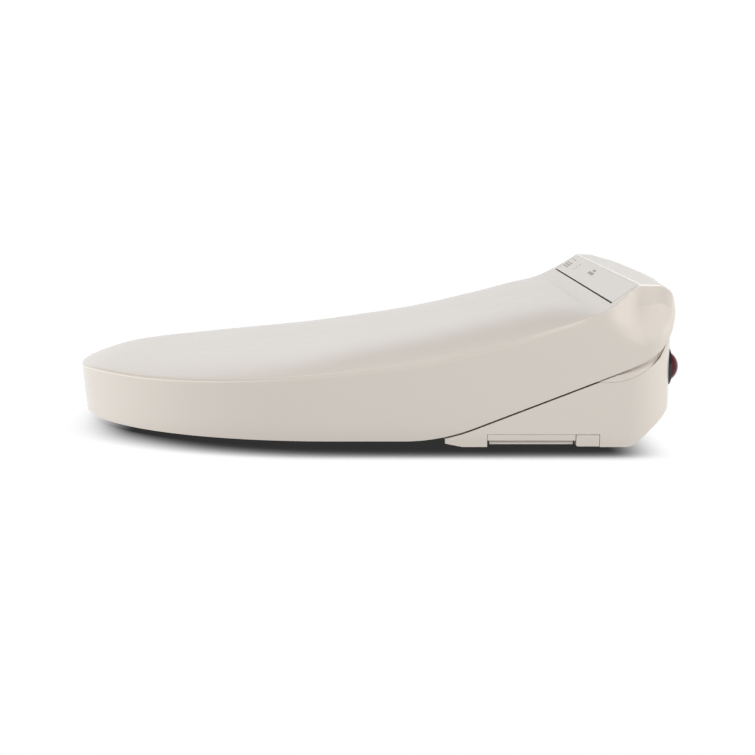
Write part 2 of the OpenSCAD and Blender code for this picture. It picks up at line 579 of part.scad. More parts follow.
// Trough with a bore for each wand, saddles for the motors and webs down to the floor
cradle_z0 = -78;
cradle_z1 = -5;
cradle_low = wand_r + 2.4;
web_y0 = -54;
web_y1 = -4;
module nozzle_cradle() color("slategray") difference() {
    union() {
        wand_frame(0) translate([wand_x[0] - wand_r - 2.6, -cradle_low, cradle_z0])
            cube([wand_pitch + 2 * wand_r + 5.2, cradle_low + 2.5, cradle_z1 - cradle_z0]);
        wand_frame(0) translate([wand_x[0] - motor_in - motor_t, -cradle_low, pinion_z - 8])
            cube([wand_pitch + 2 * motor_in + 2 * motor_t, cradle_low + 5, 16]);
        for (x = [wand_x[0] - motor_in - motor_t, wand_x[1] + motor_in + motor_t - 3])
            along_x(x, x + 3) polygon([[web_y0, floor_z], [web_y1, floor_z],
                [web_y1, port_z + (web_y1 - core_front) * tan(wand_slope) - cradle_low],
                [web_y0, port_z + (web_y0 - core_front) * tan(wand_slope) - cradle_low]]);
        for (y = [web_y0, web_y1 - 3]) translate([wand_x[0] - motor_in - motor_t, y, floor_z])
            cube([wand_pitch + 2 * motor_in + 2 * motor_t, 3,
                port_z + (y - core_front) * tan(wand_slope) - cradle_low - floor_z]);
    }
    for (x = wand_x) wand_frame(x) translate([0, 0, cradle_z0 - 1])
        cylinder(h = cradle_z1 - cradle_z0 + 2, r = wand_r + 0.05, $fn = 48);
    for (x = wand_x) at_pinion(x) cyl_x(-motor_in, motor_in, pinion_r + 2);
    at_pinion(wand_x[0]) cyl_x(-motor_in - motor_t - 1, -motor_in + 0.1, motor_r);
    at_pinion(wand_x[1]) cyl_x(motor_in - 0.1, motor_in + motor_t + 1, motor_r);
}

// ---- warm-air dryer ----
duct_mid = (duct_x0 + duct_x1) / 2;
blower_y = -8;
blower_r = 30;
blower_z0 = floor_z;
blower_z1 = 46;
flap_pin_r = 1;
flap_t = 1.6;
flap_y = core_front - 2.2;
flap_z = duct_z1 - 2.2;
module dryer_duct() color("darkgray") difference() {
    union() {
        translate([duct_x0 + 1.2, core_front - 0.6, duct_z0 + 1.2])
            cube([duct_x1 - duct_x0 - 2.4, blower_y - blower_r - core_front + 8, duct_z1 - duct_z0 - 2.4]);
        translate([duct_x0 - 3, core_front - 0.6, duct_z0 - 2]) cube([duct_x1 - duct_x0 + 6, 0.6, duct_z1 - duct_z0 + 4]);
        // ears for the flap's pins
        for (x = [duct_x0 + 1.2, duct_x1 - 3.2]) translate([x, 0, 0]) union() {
            translate([0, flap_y, flap_z]) cyl_x(0, 2, 2);
            translate([0, flap_y, flap_z - 2]) cube([2, core_front - flap_y, 4]);
        }
    }
    translate([duct_x0 + 3, core_front - 2, duct_z0 + 3]) cube([duct_x1 - duct_x0 - 6, 60, duct_z1 - duct_z0 - 6]);
    translate([duct_mid, blower_y, 0]) cylinder(h = 60, r = blower_r + 0.1, $fn = 64);
    translate([0, flap_y, flap_z]) cyl_x(duct_x0, duct_x1, flap_pin_r + 0.05);
}
module dryer_flap() color("white") union() {
    translate([duct_x0 + 3.8, flap_y - flap_t / 2, duct_z0 + 1.4]) cube([duct_x1 - duct_x0 - 7.6, flap_t, flap_z - duct_z0 - 1.4]);
    translate([0, flap_y, flap_z]) cyl_x(duct_x0 + 1.3, duct_x1 - 1.3, flap_pin_r);
    translate([0, flap_y, flap_z]) cyl_x(duct_x0 + 3.8, duct_x1 - 3.8, 1.5);
    for (x = [duct_x0 + 12, duct_mid - 0.6, duct_x1 - 13.2])
        translate([x, flap_y - 1.5, duct_z0 + 3]) cube([1.2, 1.5, flap_z - duct_z0 - 4]);
}
module blower_housing() color("dimgray") translate([duct_mid, blower_y, 0]) difference() {
    union() {
        translate([0, 0, blower_z0]) cylinder(h = blower_z1 - blower_z0, r = blower_r, $fn = 64);
        for (a = [45:90:315]) rotate(a) translate([blower_r + 1, 0, blower_z0]) cylinder(h = 4, r = 4, $fn = 32);
    }
    translate([0, 0, blower_z0 + 3]) cylinder(h = blower_z1 - blower_z0 - 5, r = blower_r - 2, $fn = 64);
    translate([0, 0, blower_z1 - 3]) cylinder(h = 6, r = 13, $fn = 48);
    translate([duct_x0 + 3 - duct_mid, -blower_r - 4, duct_z0 + 3]) cube([duct_x1 - duct_x0 - 6, 14, duct_z1 - duct_z0 - 6]);
    translate([0, 0, blower_z0 - 1]) cylinder(h = 10, r = 2.05, $fn = 32);
}
impeller_blades = 18;
module blower_impeller() color("lightsteelblue") translate([duct_mid, blower_y, 0]) union() {
    translate([0, 0, blower_z0 + 4.5]) cylinder(h = 2, r = 24, $fn = 64);
    translate([0, 0, blower_z0 + 4.5]) cylinder(h = 16, r = 6, $fn = 40);
    translate([0, 0, blower_z0 + 0.5]) cylinder(h = 6, r = 2, $fn = 32);
    for (i = [0:impeller_blades - 1]) rotate(i * 360 / impeller_blades)
        translate([19.5, -3, blower_z0 + 6]) rotate(35) cube([6.5, 1.2, 18]);
    translate([0, 0, blower_z0 + 23]) difference() {
        cylinder(h = 2, r = 25.4, $fn = 64);
        translate([0, 0, -1]) cylinder(h = 4, r = 19, $fn = 64);
    }
}

// ---- deodoriser: drawer with its filter, duct and fan in the near flank ----
bar_y1 = -24.4;
bar_z0 = 5.4;
drawer_x0 = 156;
drawer_gap = 0.35;
drawer_travel = 34;
module filter_drawer() color(body_colour) difference() {
    union() {
        translate([body_half - 3, slot_y0 + drawer_gap, bar_z0]) cube([3, bar_y1 - slot_y0 - drawer_gap, slot_h - bar_z0 - 0.3]);
        translate([drawer_x0, slot_y0 + 2, 2]) cube([body_half - drawer_x0 - 2, bar_y1 - slot_y0 - 4, slot_h - 2.4]);
    }
    translate([drawer_x0 + 1.6, slot_y0 + 3.6, 3.6]) cube([body_half - drawer_x0 - 6.6, bar_y1 - slot_y0 - 7.2, 20]);
    // louvres through the tray's floor
    for (i = [0:10]) translate([drawer_x0 + 5, slot_y0 + 8 + i * 5.6, 1]) cube([body_half - drawer_x0 - 14, 2.4, 4]);
}
module filter_cartridge() color([0.25, 0.25, 0.27]) difference() {
    translate([drawer_x0 + 2, slot_y0 + 4, 3.7]) cube([body_half - drawer_x0 - 7.4, bar_y1 - slot_y0 - 8, 5.6]);
    for (i = [0:5]) for (j = [0:10]) translate([drawer_x0 + 6 + i * 4.6, slot_y0 + 9 + j * 5.8, 3]) cylinder(h = 9, r = 1.4, $fn = 13);
}
fan_x = 134;
fan_y = -44;
fan_z = 24;
fan_r = 11;
module deodoriser_duct() color("darkgray") difference() {
    union() {
        translate([fan_x - 9, fan_y - fan_r - 3, floor_z]) cube([18, 2 * fan_r + 6, 2 * fan_r + 8]);
        translate([fan_x + 8.9, fan_y - fan_r, floor_z + 2.4]) cube([20, 2 * fan_r, 9]);
    }
    translate([0, fan_y, fan_z]) cyl_x(fan_x - 10, fan_x + 6, fan_r);
    translate([fan_x + 2, fan_y - fan_r + 1.6, floor_z + 4]) cube([30, 2 * fan_r - 3.2, 6]);
    translate([0, fan_y, fan_z]) cyl_x(fan_x + 2, fan_x + 20, 2.05);
}
module deodoriser_fan() color("black") translate([0, fan_y, fan_z]) union() {
    cyl_x(fan_x - 7, fan_x + 1, 4);
    cyl_x(fan_x + 1, fan_x + 8, 2);
    for (i = [0:6]) rotate([i * 360 / 7, 0, 0]) translate([fan_x - 6, 0, 3]) rotate([0, 0, 32])
        cube([7, 1, fan_r - 4.6]);
}

// ---- release button with its latch tongue ----
button_gap = 0.35;
button_travel = 4;
button_z1 = 10.1;
button_in = 16;
latch_x0 = 100;
latch_y = -13.8;
latch_w = 9;
latch_z = 3;
latch_t = 2.2;
module release_button() color(body_colour) union() {
    along_x(body_half - button_in, body_half) polygon([[bar_y1 + 0.7, 0.9], [bar_y1 + 2.6, 0.3],
        [slot_y1 - button_gap, 0.3], [slot_y1 - button_gap, button_z1], [bar_y1 + 0.7, button_z1]]);
    translate([latch_x0, latch_y - latch_w / 2, latch_z]) cube([body_half - button_in - latch_x0 + 1, latch_w, latch_t]);
}

// ---- water path ----
module water_inlet() color("silver") translate([inlet_x, inlet_y, 0]) difference() {
    union() {
        translate([0, 0, 3]) cylinder(h = 15, r = thread_r, $fn = 64);
        translate([0, 0, 18]) cylinder(h = 3, r = 13, $fn = 6);
        translate([0, 0, 21]) cylinder(h = 6, r = 8, $fn = 48);
    }
    translate([0, 0, 2]) cylinder(h = 12, r = 7, $fn = 48);
    translate([0, 0, 10]) cylinder(h = 20, r = 4, $fn = 32);
}
module inlet_strainer() color("gainsboro") translate([inlet_x, inlet_y, 5]) difference() {
    cylinder(h = 9, r = 6.9, $fn = 48);
    translate([0, 0, -1]) cylinder(h = 9, r = 5.9, $fn = 48);
    for (a = [0:60:300]) rotate(a) translate([0, 0, 7]) translate([3.6, 0, 0]) cylinder(h = 4, r = 0.9, $fn = 24);
}
valve_z = 27;
module solenoid_valve() color("white") translate([inlet_x, inlet_y, valve_z]) union() {
    translate([-11, -14, 0]) cube([26, 28, 10]);
    translate([0, 0, 9.9]) cylinder(h = 13, r = 9, $fn = 48);
}
tank_x0 = -148;
tank_x1 = -88;
tank_y0 = -48;
tank_y1 = 10;
tank_z1 = 58;
module heater_tank() color("tan") translate([(tank_x0 + tank_x1) / 2, (tank_y0 + tank_y1) / 2, floor_z + 2]) {
    linear_extrude(tank_z1 - floor_z - 2) round_plate((tank_x1 - tank_x0) / 2, (tank_y1 - tank_y0) / 2, 9);
}
module tank_bracket() color("silver") translate([0, (tank_y0 + tank_y1) / 2 - 6, 0]) difference() {
    union() {
        translate([tank_x0 - 1.5, 0, floor_z]) cube([tank_x1 - tank_x0 + 3, 12, tank_z1 + 1.5 - floor_z]);
        translate([tank_x0 - 1.5, 0, floor_z]) cube([tank_x1 - tank_x0 + 16, 12, 1.5]);
    }
    translate([tank_x0, -1, floor_z + 2]) cube([tank_x1 - tank_x0, 14, tank_z1 - floor_z - 2]);
}
pump_x0 = -80;
pump_x1 = -54;
pump_y0 = -10;
pump_y1 = 18;
pump_z1 = 40;
module flow_pump() color("gray") union() {
    translate([pump_x0, pump_y0, floor_z]) cube([pump_x1 - pump_x0, pump_y1 - pump_y0, 12]);
    translate([(pump_x0 + pump_x1) / 2, (pump_y0 + pump_y1) / 2, floor_z + 11.9])
        cylinder(h = pump_z1 - floor_z - 12, r = 11, $fn = 48);
}
pipe_r = 3;
module water_pipes() color("white") union() {
    translate([0, inlet_y - 11, valve_z + 5]) cyl_x(inlet_x + 15, tank_x0, pipe_r);
    translate([0, -2, 17]) cyl_x(tank_x1, pump_x0, pipe_r);
}
module drain_plug() color("lightgray") translate([0, drain_y, drain_z]) difference() {
    union() {
        cyl_x(-body_half - 1.2, -body_half + 10, drain_r);
    }
    translate([-body_half - 2.2, -5.5, -1]) cube([2.6, 11, 2]);
}

// ---- electronics ----
module control_board() color("darkgreen") on_panel() union() {
    translate([-150, 5, -6.6]) cube([130, 18, 1.6]);
    for (x = [-146, -24]) translate([x, 14, -5.1]) cylinder(h = 1.6, r = 2.4, $fn = 32);
    for (x = [-120:22:-40]) translate([x, 9, -8.6]) cube([9, 7, 2.1]);
}
board_y = body_rear - body_wall - 6;
module power_board() color("darkgreen") union() {
    translate([8, board_y - 1.6, 33]) cube([100, 1.6, 60]);
    for (x = [14, 102]) for (z = [39, 87]) translate([x, 0, z]) cyl_y(board_y - 0.1, body_rear - body_wall, 2.5);
    translate([20, board_y - 3.1, 62]) cube([26, 1.6, 18]);
    for (i = [0:2]) translate([58 + 15 * i, 0, 76]) cyl_y(board_y - 9.5, board_y - 1.5, 5.5);
}
module cord_gland() color("dimgray") translate([gland_x, 0, gland_z]) difference() {
    union() {
        cyl_y(body_rear - 8, body_rear + 3, 6);
        cyl_y(body_rear, body_rear + 2, 9);
        cyl_y(body_rear - body_wall - 2, body_rear - body_wall, 9);
    }
    cyl_y(body_rear - 9, body_rear + 4, 3.6);
}

base_plate();
bottom_case();
main_cover();
display_panel();
indicator_lens();
sensor_bezel();
sensor_dome();
hinge_pin_left();
hinge_pin_right();
nozzle_cradle();
cleansing_wand();
cleansing_tip();
bidet_wand();
bidet_tip();
wand_pinion_a();
wand_pinion_b();
wand_motor_a();
wand_motor_b();
dryer_duct();
dryer_flap();
blower_housing();
blower_impeller();
filter_drawer();
filter_cartridge();
deodoriser_duct();
deodoriser_fan();
release_button();
water_inlet();
inlet_strainer();
solenoid_valve();
heater_tank();
tank_bracket();
flow_pump();
water_pipes();
drain_plug();
control_board();
power_board();
cord_gland();
foot_pad_1();
foot_pad_2();
foot_pad_3();
foot_pad_4();
seat_top();
seat_heater();
seat_base();
seat_bumper_1();
seat_bumper_2();
seat_bumper_3();
seat_bumper_4();
lid_shell();
lid_bumper_1();
lid_bumper_2();
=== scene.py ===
# %% [markdown]
# # Electric bidet seat
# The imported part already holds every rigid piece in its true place. This script gives it its looks: the big
# moulded skins are worked out again on fine grids, the other pieces get softened edges, and each one gets the
# plastic, metal or rubber that it is made of. The curves are in millimetres, and MM turns them into metres.

# %% The frame
import json
import math

import bmesh
import bpy
import numpy as np
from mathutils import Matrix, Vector


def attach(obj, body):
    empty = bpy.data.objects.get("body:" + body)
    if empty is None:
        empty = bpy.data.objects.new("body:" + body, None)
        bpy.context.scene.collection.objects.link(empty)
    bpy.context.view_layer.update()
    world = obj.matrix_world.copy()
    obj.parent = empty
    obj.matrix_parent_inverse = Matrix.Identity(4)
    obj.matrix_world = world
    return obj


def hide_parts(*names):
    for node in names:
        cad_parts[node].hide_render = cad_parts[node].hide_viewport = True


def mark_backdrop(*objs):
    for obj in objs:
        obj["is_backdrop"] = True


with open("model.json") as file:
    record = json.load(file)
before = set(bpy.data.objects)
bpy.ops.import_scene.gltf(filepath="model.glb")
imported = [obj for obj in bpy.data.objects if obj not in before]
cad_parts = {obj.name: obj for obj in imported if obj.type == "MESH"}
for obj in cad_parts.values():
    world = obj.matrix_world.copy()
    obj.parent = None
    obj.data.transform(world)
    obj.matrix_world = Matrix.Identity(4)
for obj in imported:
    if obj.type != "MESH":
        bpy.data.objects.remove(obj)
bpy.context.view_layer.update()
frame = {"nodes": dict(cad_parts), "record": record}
MM = 0.001

# %% [markdown]
# ## Helpers
# A moulding could be modelled by hand from a box, but its curves are known as formulas, so here a surface is a
# grid of points worked out as one array. A grid becomes a mesh in one call, and its rows and columns can each
# close on themselves, as on a ring.

# %% From arrays to meshes
body_of = {node: body for body, nodes in frame["record"]["behaviour"]["bodies"].items() for node in nodes}


def grid_faces(rows, cols, wrap_rows=False, wrap_cols=False):
    """Quads between neighbouring points of a rows x cols grid, numbered row by row."""
    r = np.arange(rows if wrap_rows else rows - 1)[:, None]
    c = np.arange(cols if wrap_cols else cols - 1)[None, :]
    r1, c1 = (r + 1) % rows, (c + 1) % cols
    return np.stack([r * cols + c, r * cols + c1, r1 * cols + c1, r1 * cols + c], axis=-1).reshape(-1, 4)


def new_object(name, points, faces, body):
    """An object whose vertices are the points, in millimetres, riding on one body of the frame."""
    mesh = bpy.data.meshes.new(name)
    mesh.from_pydata((np.asarray(points, float).reshape(-1, 3) * MM).tolist(), [], [list(f) for f in faces])
    mesh.update()
    obj = bpy.data.objects.new(name, mesh)
    bpy.context.scene.collection.objects.link(obj)
    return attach(obj, body) or obj


def joined(*parts):
    """Several (points, faces) pairs as one list of points and one of faces."""
    points, faces, start = [], [], 0
    for p, f in parts:
        p = np.asarray(p, float).reshape(-1, 3)
        points.append(p)
        faces += (f + start).tolist() if isinstance(f, np.ndarray) else [[i + start for i in face] for face in f]
        start += len(p)
    return np.concatenate(points), faces


print("a grid of 3 x 4 points has", len(grid_faces(3, 4)), "faces, on a ring", len(grid_faces(3, 4, wrap_cols=True)))

# %% [markdown]
# No real edge is perfectly sharp: a moulded one has a radius of a few tenths of a millimetre, and that radius
# is what catches the light. A bevel that reads the angle between two faces gives every edge its radius at once.
# Where edges of one piece differ, each one carries a weight instead.

# %% Merging and rounding

def merge(obj, distance=1e-6, sharp=30, outwards=False):
    """Joins vertices that coincide, marks the edges that turn sharply and can point all faces outwards."""
    work = bmesh.new()
    work.from_mesh(obj.data)
    bmesh.ops.remove_doubles(work, verts=work.verts, dist=distance)
    bmesh.ops.dissolve_degenerate(work, edges=work.edges, dist=1e-7)
    if outwards:
        bmesh.ops.recalc_face_normals(work, faces=work.faces)
    for face in work.faces:
        face.smooth = True
    for edge in work.edges:
        edge.smooth = len(edge.link_faces) == 2 and edge.calc_face_angle(0) < math.radians(sharp)
    work.to_mesh(obj.data)
    work.free()
    return obj


def modifier(obj, kind, **settings):
    """Adds one modifier with its settings."""
    made = obj.modifiers.new(kind.title(), kind)
    for name, value in settings.items():
        setattr(made, name, value)
    return made


def soften(obj, width, segments=2, angle=32, share=None):
    """Rounds every edge that turns more than the angle, and keeps the flat faces flat to the eye. With share, a
    function of the edges' middles in mm, each edge gets that share of the width."""
    how = "ANGLE"
    if share:
        work = bmesh.new()
        work.from_mesh(obj.data)
        turn = np.array([e.calc_face_angle(0) if len(e.link_faces) == 2 else 0 for e in work.edges])
        ends = np.array([[v.co[:] for v in e.verts] for e in work.edges]) / MM
        work.free()
        weight = np.where(turn > math.radians(angle), share(ends.mean(axis=1)), 0.0)
        held = obj.data.attributes.new("bevel_weight_edge", "FLOAT", "EDGE")
        held.data.foreach_set("value", weight.astype(np.float32))
        how = "WEIGHT"
    modifier(obj, "BEVEL", width=width * MM, segments=segments, limit_method=how,
             angle_limit=math.radians(angle), miter_outer="MITER_ARC", harden_normals=False)
    modifier(obj, "WEIGHTED_NORMAL", keep_sharp=True, weight=60)
    return obj


print("nodes to finish:", len(frame["nodes"]))

# %% [markdown]
# ## Colours and materials
# Colours are written as sRGB hex, as a paint chart gives them, and turned to linear light once, because the
# renderer adds up light and not screen values. One function adds any node with its settings and links.

# %% Colour and node helpers


def colour(code):
    """sRGB hex to linear: the low end is a straight line, the rest a power of 2.4."""
    v = np.array([int(code[i:i + 2], 16) for i in (1, 3, 5)]) / 255
    lin = np.where(v <= 0.04045, v / 12.92, ((v + 0.055) / 1.055) ** 2.4)
    return (*lin.tolist(), 1.0)


def add(tree, kind, inputs=None, **settings):
    """Adds one node; an input that is a socket is linked, any other value is set on the node's own socket."""
    node = tree.nodes.new("ShaderNode" + kind)
    for name, value in settings.items():
        setattr(node, name, value)
    for name, value in (inputs or {}).items():
        if isinstance(value, bpy.types.NodeSocket):
            tree.links.new(value, node.inputs[name])
        else:
            node.inputs[name].default_value = value
    return node


print("mid grey #808080 is", round(colour("#808080")[0], 3), "of full light")

# %% [markdown]
# Every finish here could be one flat colour, but plastic, metal and rubber all vary a little. So each is a small
# node tree: a base colour with faint patches, a roughness that wanders as handling leaves it, and a bump with a
# real size. Painted highlights and painted shade on edges are added by a function of their own, which gets the base
# colour and changes it.

# %% One builder for every finish

def finish_of(name, hex_code, tint=0.02, patch=60, rough=0.3, rough_vary=0.04, grain=1.0, relief=0.01,
              stretch=(1, 1, 1), edge=None, **shader):
    """A finish: patches of slightly uneven colour patch mm wide, roughness that wanders, and a grain of that
    width and height in mm. The shader's other inputs are given by name with underscores for spaces."""
    mat = bpy.data.materials.new(name)
    mat.use_nodes = True
    tree = mat.node_tree
    tree.nodes.clear()
    place = add(tree, "TexCoord")
    spread = add(tree, "Mapping", {"Vector": place.outputs["Object"], "Scale": stretch})
    cloud = add(tree, "TexNoise", {"Vector": spread.outputs[0], "Scale": 1 / (patch * MM), "Detail": 3.0})
    base = colour(hex_code)
    darker = tuple(c * (1 - tint) for c in base[:3]) + (1.0,)
    lighter = tuple(min(1.0, c * (1 + tint)) for c in base[:3]) + (1.0,)
    mixed = add(tree, "Mix", {0: cloud.outputs["Fac"], 6: darker, 7: lighter}, data_type="RGBA")
    smear = add(tree, "TexNoise", {"Vector": spread.outputs[0], "Scale": 4 / (patch * MM), "Detail": 4.0})
    span = add(tree, "MapRange", {"Value": smear.outputs["Fac"], "From Min": 0.3, "From Max": 0.7,
                                  "To Min": rough - rough_vary, "To Max": rough + rough_vary})
    fine = add(tree, "TexNoise", {"Vector": spread.outputs[0], "Scale": 1 / (grain * MM), "Detail": 2.0})
    bump = add(tree, "Bump", {"Height": fine.outputs["Fac"], "Strength": 1.0, "Distance": relief * MM})
    # edge, where a finish has one, paints highlights or shade into the base colour
    base_and_painted_light = edge(tree, place, mixed.outputs[2]) if edge else mixed.outputs[2]
    body = add(tree, "BsdfPrincipled", {"Base Color": base_and_painted_light, "Roughness": span.outputs[0], "Normal": bump.outputs[0]})
    for key, value in shader.items():
        body.inputs[key.replace("_", " ")].default_value = value
    add(tree, "OutputMaterial", {"Surface": body.outputs[0]})
    mat.diffuse_color = base
    return mat


def mask_of(tree, *steps):
    """A mask is the product of smooth steps. A step is a socket, where it starts and ends, and the mask's value
    at the start and at the end."""
    made = [add(tree, "MapRange", {"Value": socket, "From Min": start, "From Max": end, "To Min": at_start,
                                   "To Max": at_end}, interpolation_type="SMOOTHSTEP").outputs[0]
            for socket, start, end, at_start, at_end in steps]
    mask = made[0]
    for step in made[1:]:
        mask = add(tree, "Math", {0: mask, 1: step}, operation="MULTIPLY").outputs[0]
    return mask


print("materials before the first finish:", len(bpy.data.materials))

# %% [markdown]
# The cover is injection-moulded ABS, pigmented warm off-white and polished in the tool. It has a hard, wet
# gloss, a faint orange-peel ripple a few millimetres wide, and fine wiping marks that vary the gloss. Along its
# ridge a pale line is painted into the colour as a highlight. A mask on the surface's own place keeps that
# painted highlight with the cover however it is lit.

# %% Gloss of the body and its cover
SHELL = dict(tint=0.008, patch=90, rough=0.2, rough_vary=0.012, grain=5, relief=0.0002, IOR=1.53)
# Warm off-white gloss, even on small pieces.
body_abs = finish_of("polished_abs_body", "#D2CAC1", **SHELL)


def painted_ridge_highlight(tree, place, base):
    """Paints a pale highlight along the ridge into the colour. The mask is a narrow band about y 29, z 135 mm."""
    at = add(tree, "SeparateXYZ", {"Vector": place.outputs["Object"]})
    off = add(tree, "Math", {0: at.outputs["Y"], 1: 28.7 * MM}, operation="SUBTRACT")
    away = add(tree, "Math", {0: off.outputs[0]}, operation="ABSOLUTE")
    high = add(tree, "Math", {0: at.outputs["Z"], 1: 134 * MM}, operation="GREATER_THAN")
    near = mask_of(tree, (away.outputs[0], 0.5 * MM, 1.3 * MM, 1.0, 0.0))
    mask = add(tree, "Math", {0: near, 1: high.outputs[0]}, operation="MULTIPLY")
    # painted highlight: the pale ridge line is mixed into the base colour
    return add(tree, "Mix", {0: mask.outputs[0], 6: base, 7: colour("#F6F4F0")}, data_type="RGBA").outputs[2]


# The same gloss with a painted highlight: a pale line along the ridge.
cover_abs = finish_of("polished_abs_cover", "#D2CAC1", edge=painted_ridge_highlight, **SHELL)
# The control strip is a touch cooler than the cover it lies in.
panel_abs = finish_of("polished_abs_panel", "#D3CCC5", **SHELL)
print("body finishes:", len(bpy.data.materials))

# %% [markdown]
# The lid is the same ABS. Two of its edges get painted light: the tops of its arms get a painted highlight,
# and the round crease gets painted shade above and a painted highlight below. These could be painted by hand,
# but the crease is found more surely by how far its faces look up, and the arms' tops by their height.

# %% Gloss of the lid


def painted_crease_and_arm_light(tree, place, base):
    """Paints a pale highlight on the tops of the lid's arms, from a millimetre below their highest line, and
    paints the round crease: shade on its upper half, and a highlight on its lower half, round the nose. The
    crease is found by how far its faces look up, and both marks fade towards the arms."""
    at = add(tree, "SeparateXYZ", {"Vector": place.outputs["Object"]})
    up = add(tree, "SeparateXYZ", {"Vector": place.outputs["Normal"]}).outputs["Z"]
    along = at.outputs["Y"]
    upper = mask_of(tree, (up, 0.1, 0.25, 0.0, 1.0), (up, 0.82, 0.9, 1.0, 0.0),
                    (along, -340 * MM, -240 * MM, 1.0, 0.7), (along, -90 * MM, -30 * MM, 1.0, 0.0))
    lower = mask_of(tree, (up, -0.045, 0.0, 0.0, 1.0), (up, 0.12, 0.2, 1.0, 0.0),
                    (along, -340 * MM, -240 * MM, 1.0, 0.0))
    # painted shade: a darker band on the upper half of the crease
    painted_crease_shade = add(tree, "Mix", {0: upper, 6: base, 7: colour("#C2BAB0")}, data_type="RGBA").outputs[2]
    # painted highlight: a paler band on the lower half of the crease, round the nose
    painted_crease_highlight = add(tree, "Mix", {0: lower, 6: painted_crease_shade, 7: colour("#E1DAD1")}, data_type="RGBA").outputs[2]
    # painted highlight: the tops of the arms are made paler
    high = mask_of(tree, (at.outputs["Z"], 133.2 * MM, 134.2 * MM, 0.0, 1.0))
    return add(tree, "Mix", {0: high, 6: painted_crease_highlight, 7: colour("#F2EFEA")}, data_type="RGBA").outputs[2]


# The lid's gloss, a shade lighter than the body's, with painted highlights on its arms' tops and on the crease,
# and painted shade on the crease's upper half.
lid_abs = finish_of("polished_abs_lid", "#D3CBC2", edge=painted_crease_and_arm_light, **SHELL)
# The seat is paler, so that it shows when it is clean.
seat_abs = finish_of("polished_abs_seat", "#DAD4CC", **SHELL)
print("gloss finishes:", len(bpy.data.materials))

# %% [markdown]
# The inner mouldings come from tools that are not polished. Their skin is a fine satin that scatters light, with
# a grain just under a millimetre wide. One set of values serves them all, and only the pigment changes.

# %% Satin plastics
SATIN = dict(tint=0.02, patch=25, rough=0.46, rough_vary=0.05, grain=0.7, relief=0.02, IOR=1.5)
# Wands, valve and pipes: clean white with a soft sheen.
white_pp = finish_of("moulded_polypropylene_white", "#DEDEDB", **SATIN)
# Plate, case and ducts: mid grey, dull enough to stay in the background.
grey_pp = finish_of("moulded_polypropylene_grey", "#8C8D8F", **SATIN)
# Fans, pump and gland: near black, so that only the sheen shows their shape.
dark_pp = finish_of("moulded_nylon_black", "#2B2C2E", **SATIN)
# The tank stands heat, so glass fibre is in it, which gives the plain straw colour of unpainted nylon.
tank_pp = finish_of("glass_filled_nylon_tank", "#C9BA9B", **SATIN)
print("moulded plastics:", len(bpy.data.materials))

# %% [markdown]
# Rubber scatters light almost evenly. Metal parts show the marks of how they were made: turning leaves fine
# rings, rolling leaves streaks, and a metal's colour is the colour of what it mirrors.

# %% Rubber and metals
# Soft grey with no highlight at all.
rubber = finish_of("moulded_silicone_grey", "#9A9A98", rough=0.7, grain=0.8, relief=0.03, patch=12, IOR=1.43)
# Bright, with a tight highlight that follows the turning.
steel = finish_of("turned_stainless_pin", "#C9CACB", rough=0.24, grain=0.25, relief=0.006, patch=8, Metallic=1.0)
# Bluish silver, streaked along the sheet.
zinc = finish_of("zinc_plated_sheet", "#C4C8CB", rough=0.34, grain=0.5, relief=0.006, patch=10,
                 stretch=(0.2, 1, 1), Metallic=1.0)
# Warm silver: the brass shows through the plating.
brass = finish_of("nickel_plated_brass", "#CBC3AE", rough=0.25, grain=0.3, relief=0.006, patch=9, Metallic=1.0)
# Crumpled a little where it was pressed on to the wires.
foil = finish_of("heater_aluminium_foil", "#D5D6D8", rough=0.36, grain=2.5, relief=0.03, patch=14, Metallic=1.0)
print("with rubber and metals:", len(bpy.data.materials))

# %% [markdown]
# The last few pieces are each of their own kind. The dome over the receiver has to pass infrared and hide what
# is behind it, so it is dark red plastic in a black ring. The light pipes are smoked, so that they are only seen
# when they are lit. Both could be glass shaders, but they are so dark that a gloss over a deep colour looks the
# same and renders with less noise.

# %% Filter, board, light pipes, dome
# Black and dusty: rough grains that give back almost nothing.
charcoal = finish_of("pressed_charcoal", "#1D1D1E", tint=0.2, rough=0.85, grain=0.6, relief=0.15, patch=3, IOR=1.5)
# Green lacquer over copper and glass cloth.
board = finish_of("solder_mask_green", "#1C5A3A", tint=0.12, patch=4, rough=0.3, grain=0.8, relief=0.02, IOR=1.5)
# Dark grey, level with the strip around it.
lens = finish_of("smoked_light_pipe", "#55514F", tint=0.02, patch=6, rough=0.22, rough_vary=0.03, grain=2,
                 relief=0.001, IOR=1.58)
# A black mirror, the darkest line on the outside.
bezel = finish_of("gloss_black_abs", "#17181A", tint=0.05, patch=10, rough=0.16, rough_vary=0.03, grain=3,
                  relief=0.001, IOR=1.53)
# Almost black red, with one soft highlight.
dome = finish_of("tinted_red_polycarbonate", "#4A0711", tint=0.1, patch=8, rough=0.14, rough_vary=0.02, grain=4,
                 relief=0.001, IOR=1.28)
print("all finishes:", len(bpy.data.materials))

# %% [markdown]
# ## The curves that shape the seat and its lid
# The lid's crease rises from the nose to the ridge over the control panel on one smooth curve, and the skin
# between the creases stands above them like a shallow dish turned over. They could be bent by hand from a plane,
# but written as curves of y they are worked out as whole arrays, much finer than the frame's skins, and every
# piece that has to meet the lid reads the same curve.

# %% Sizes and two kinds of curve
# Seen from above, mm: the lid's half-width, its nose, and where the half ellipse of the nose begins.
LID_A, LID_NOSE, MID_Y = 195.0, 474.3, -230.0
LID_B = LID_NOSE + MID_Y
# Seen from the side, (y, z) mm: the gap in front of the panel, the panel's front, the ridge and the hinge.
GAP_Y, PANEL, RIDGE, HINGE = 4.9, (6.5, 119.6), (29.0, 135.2), (1.5, 111.5)
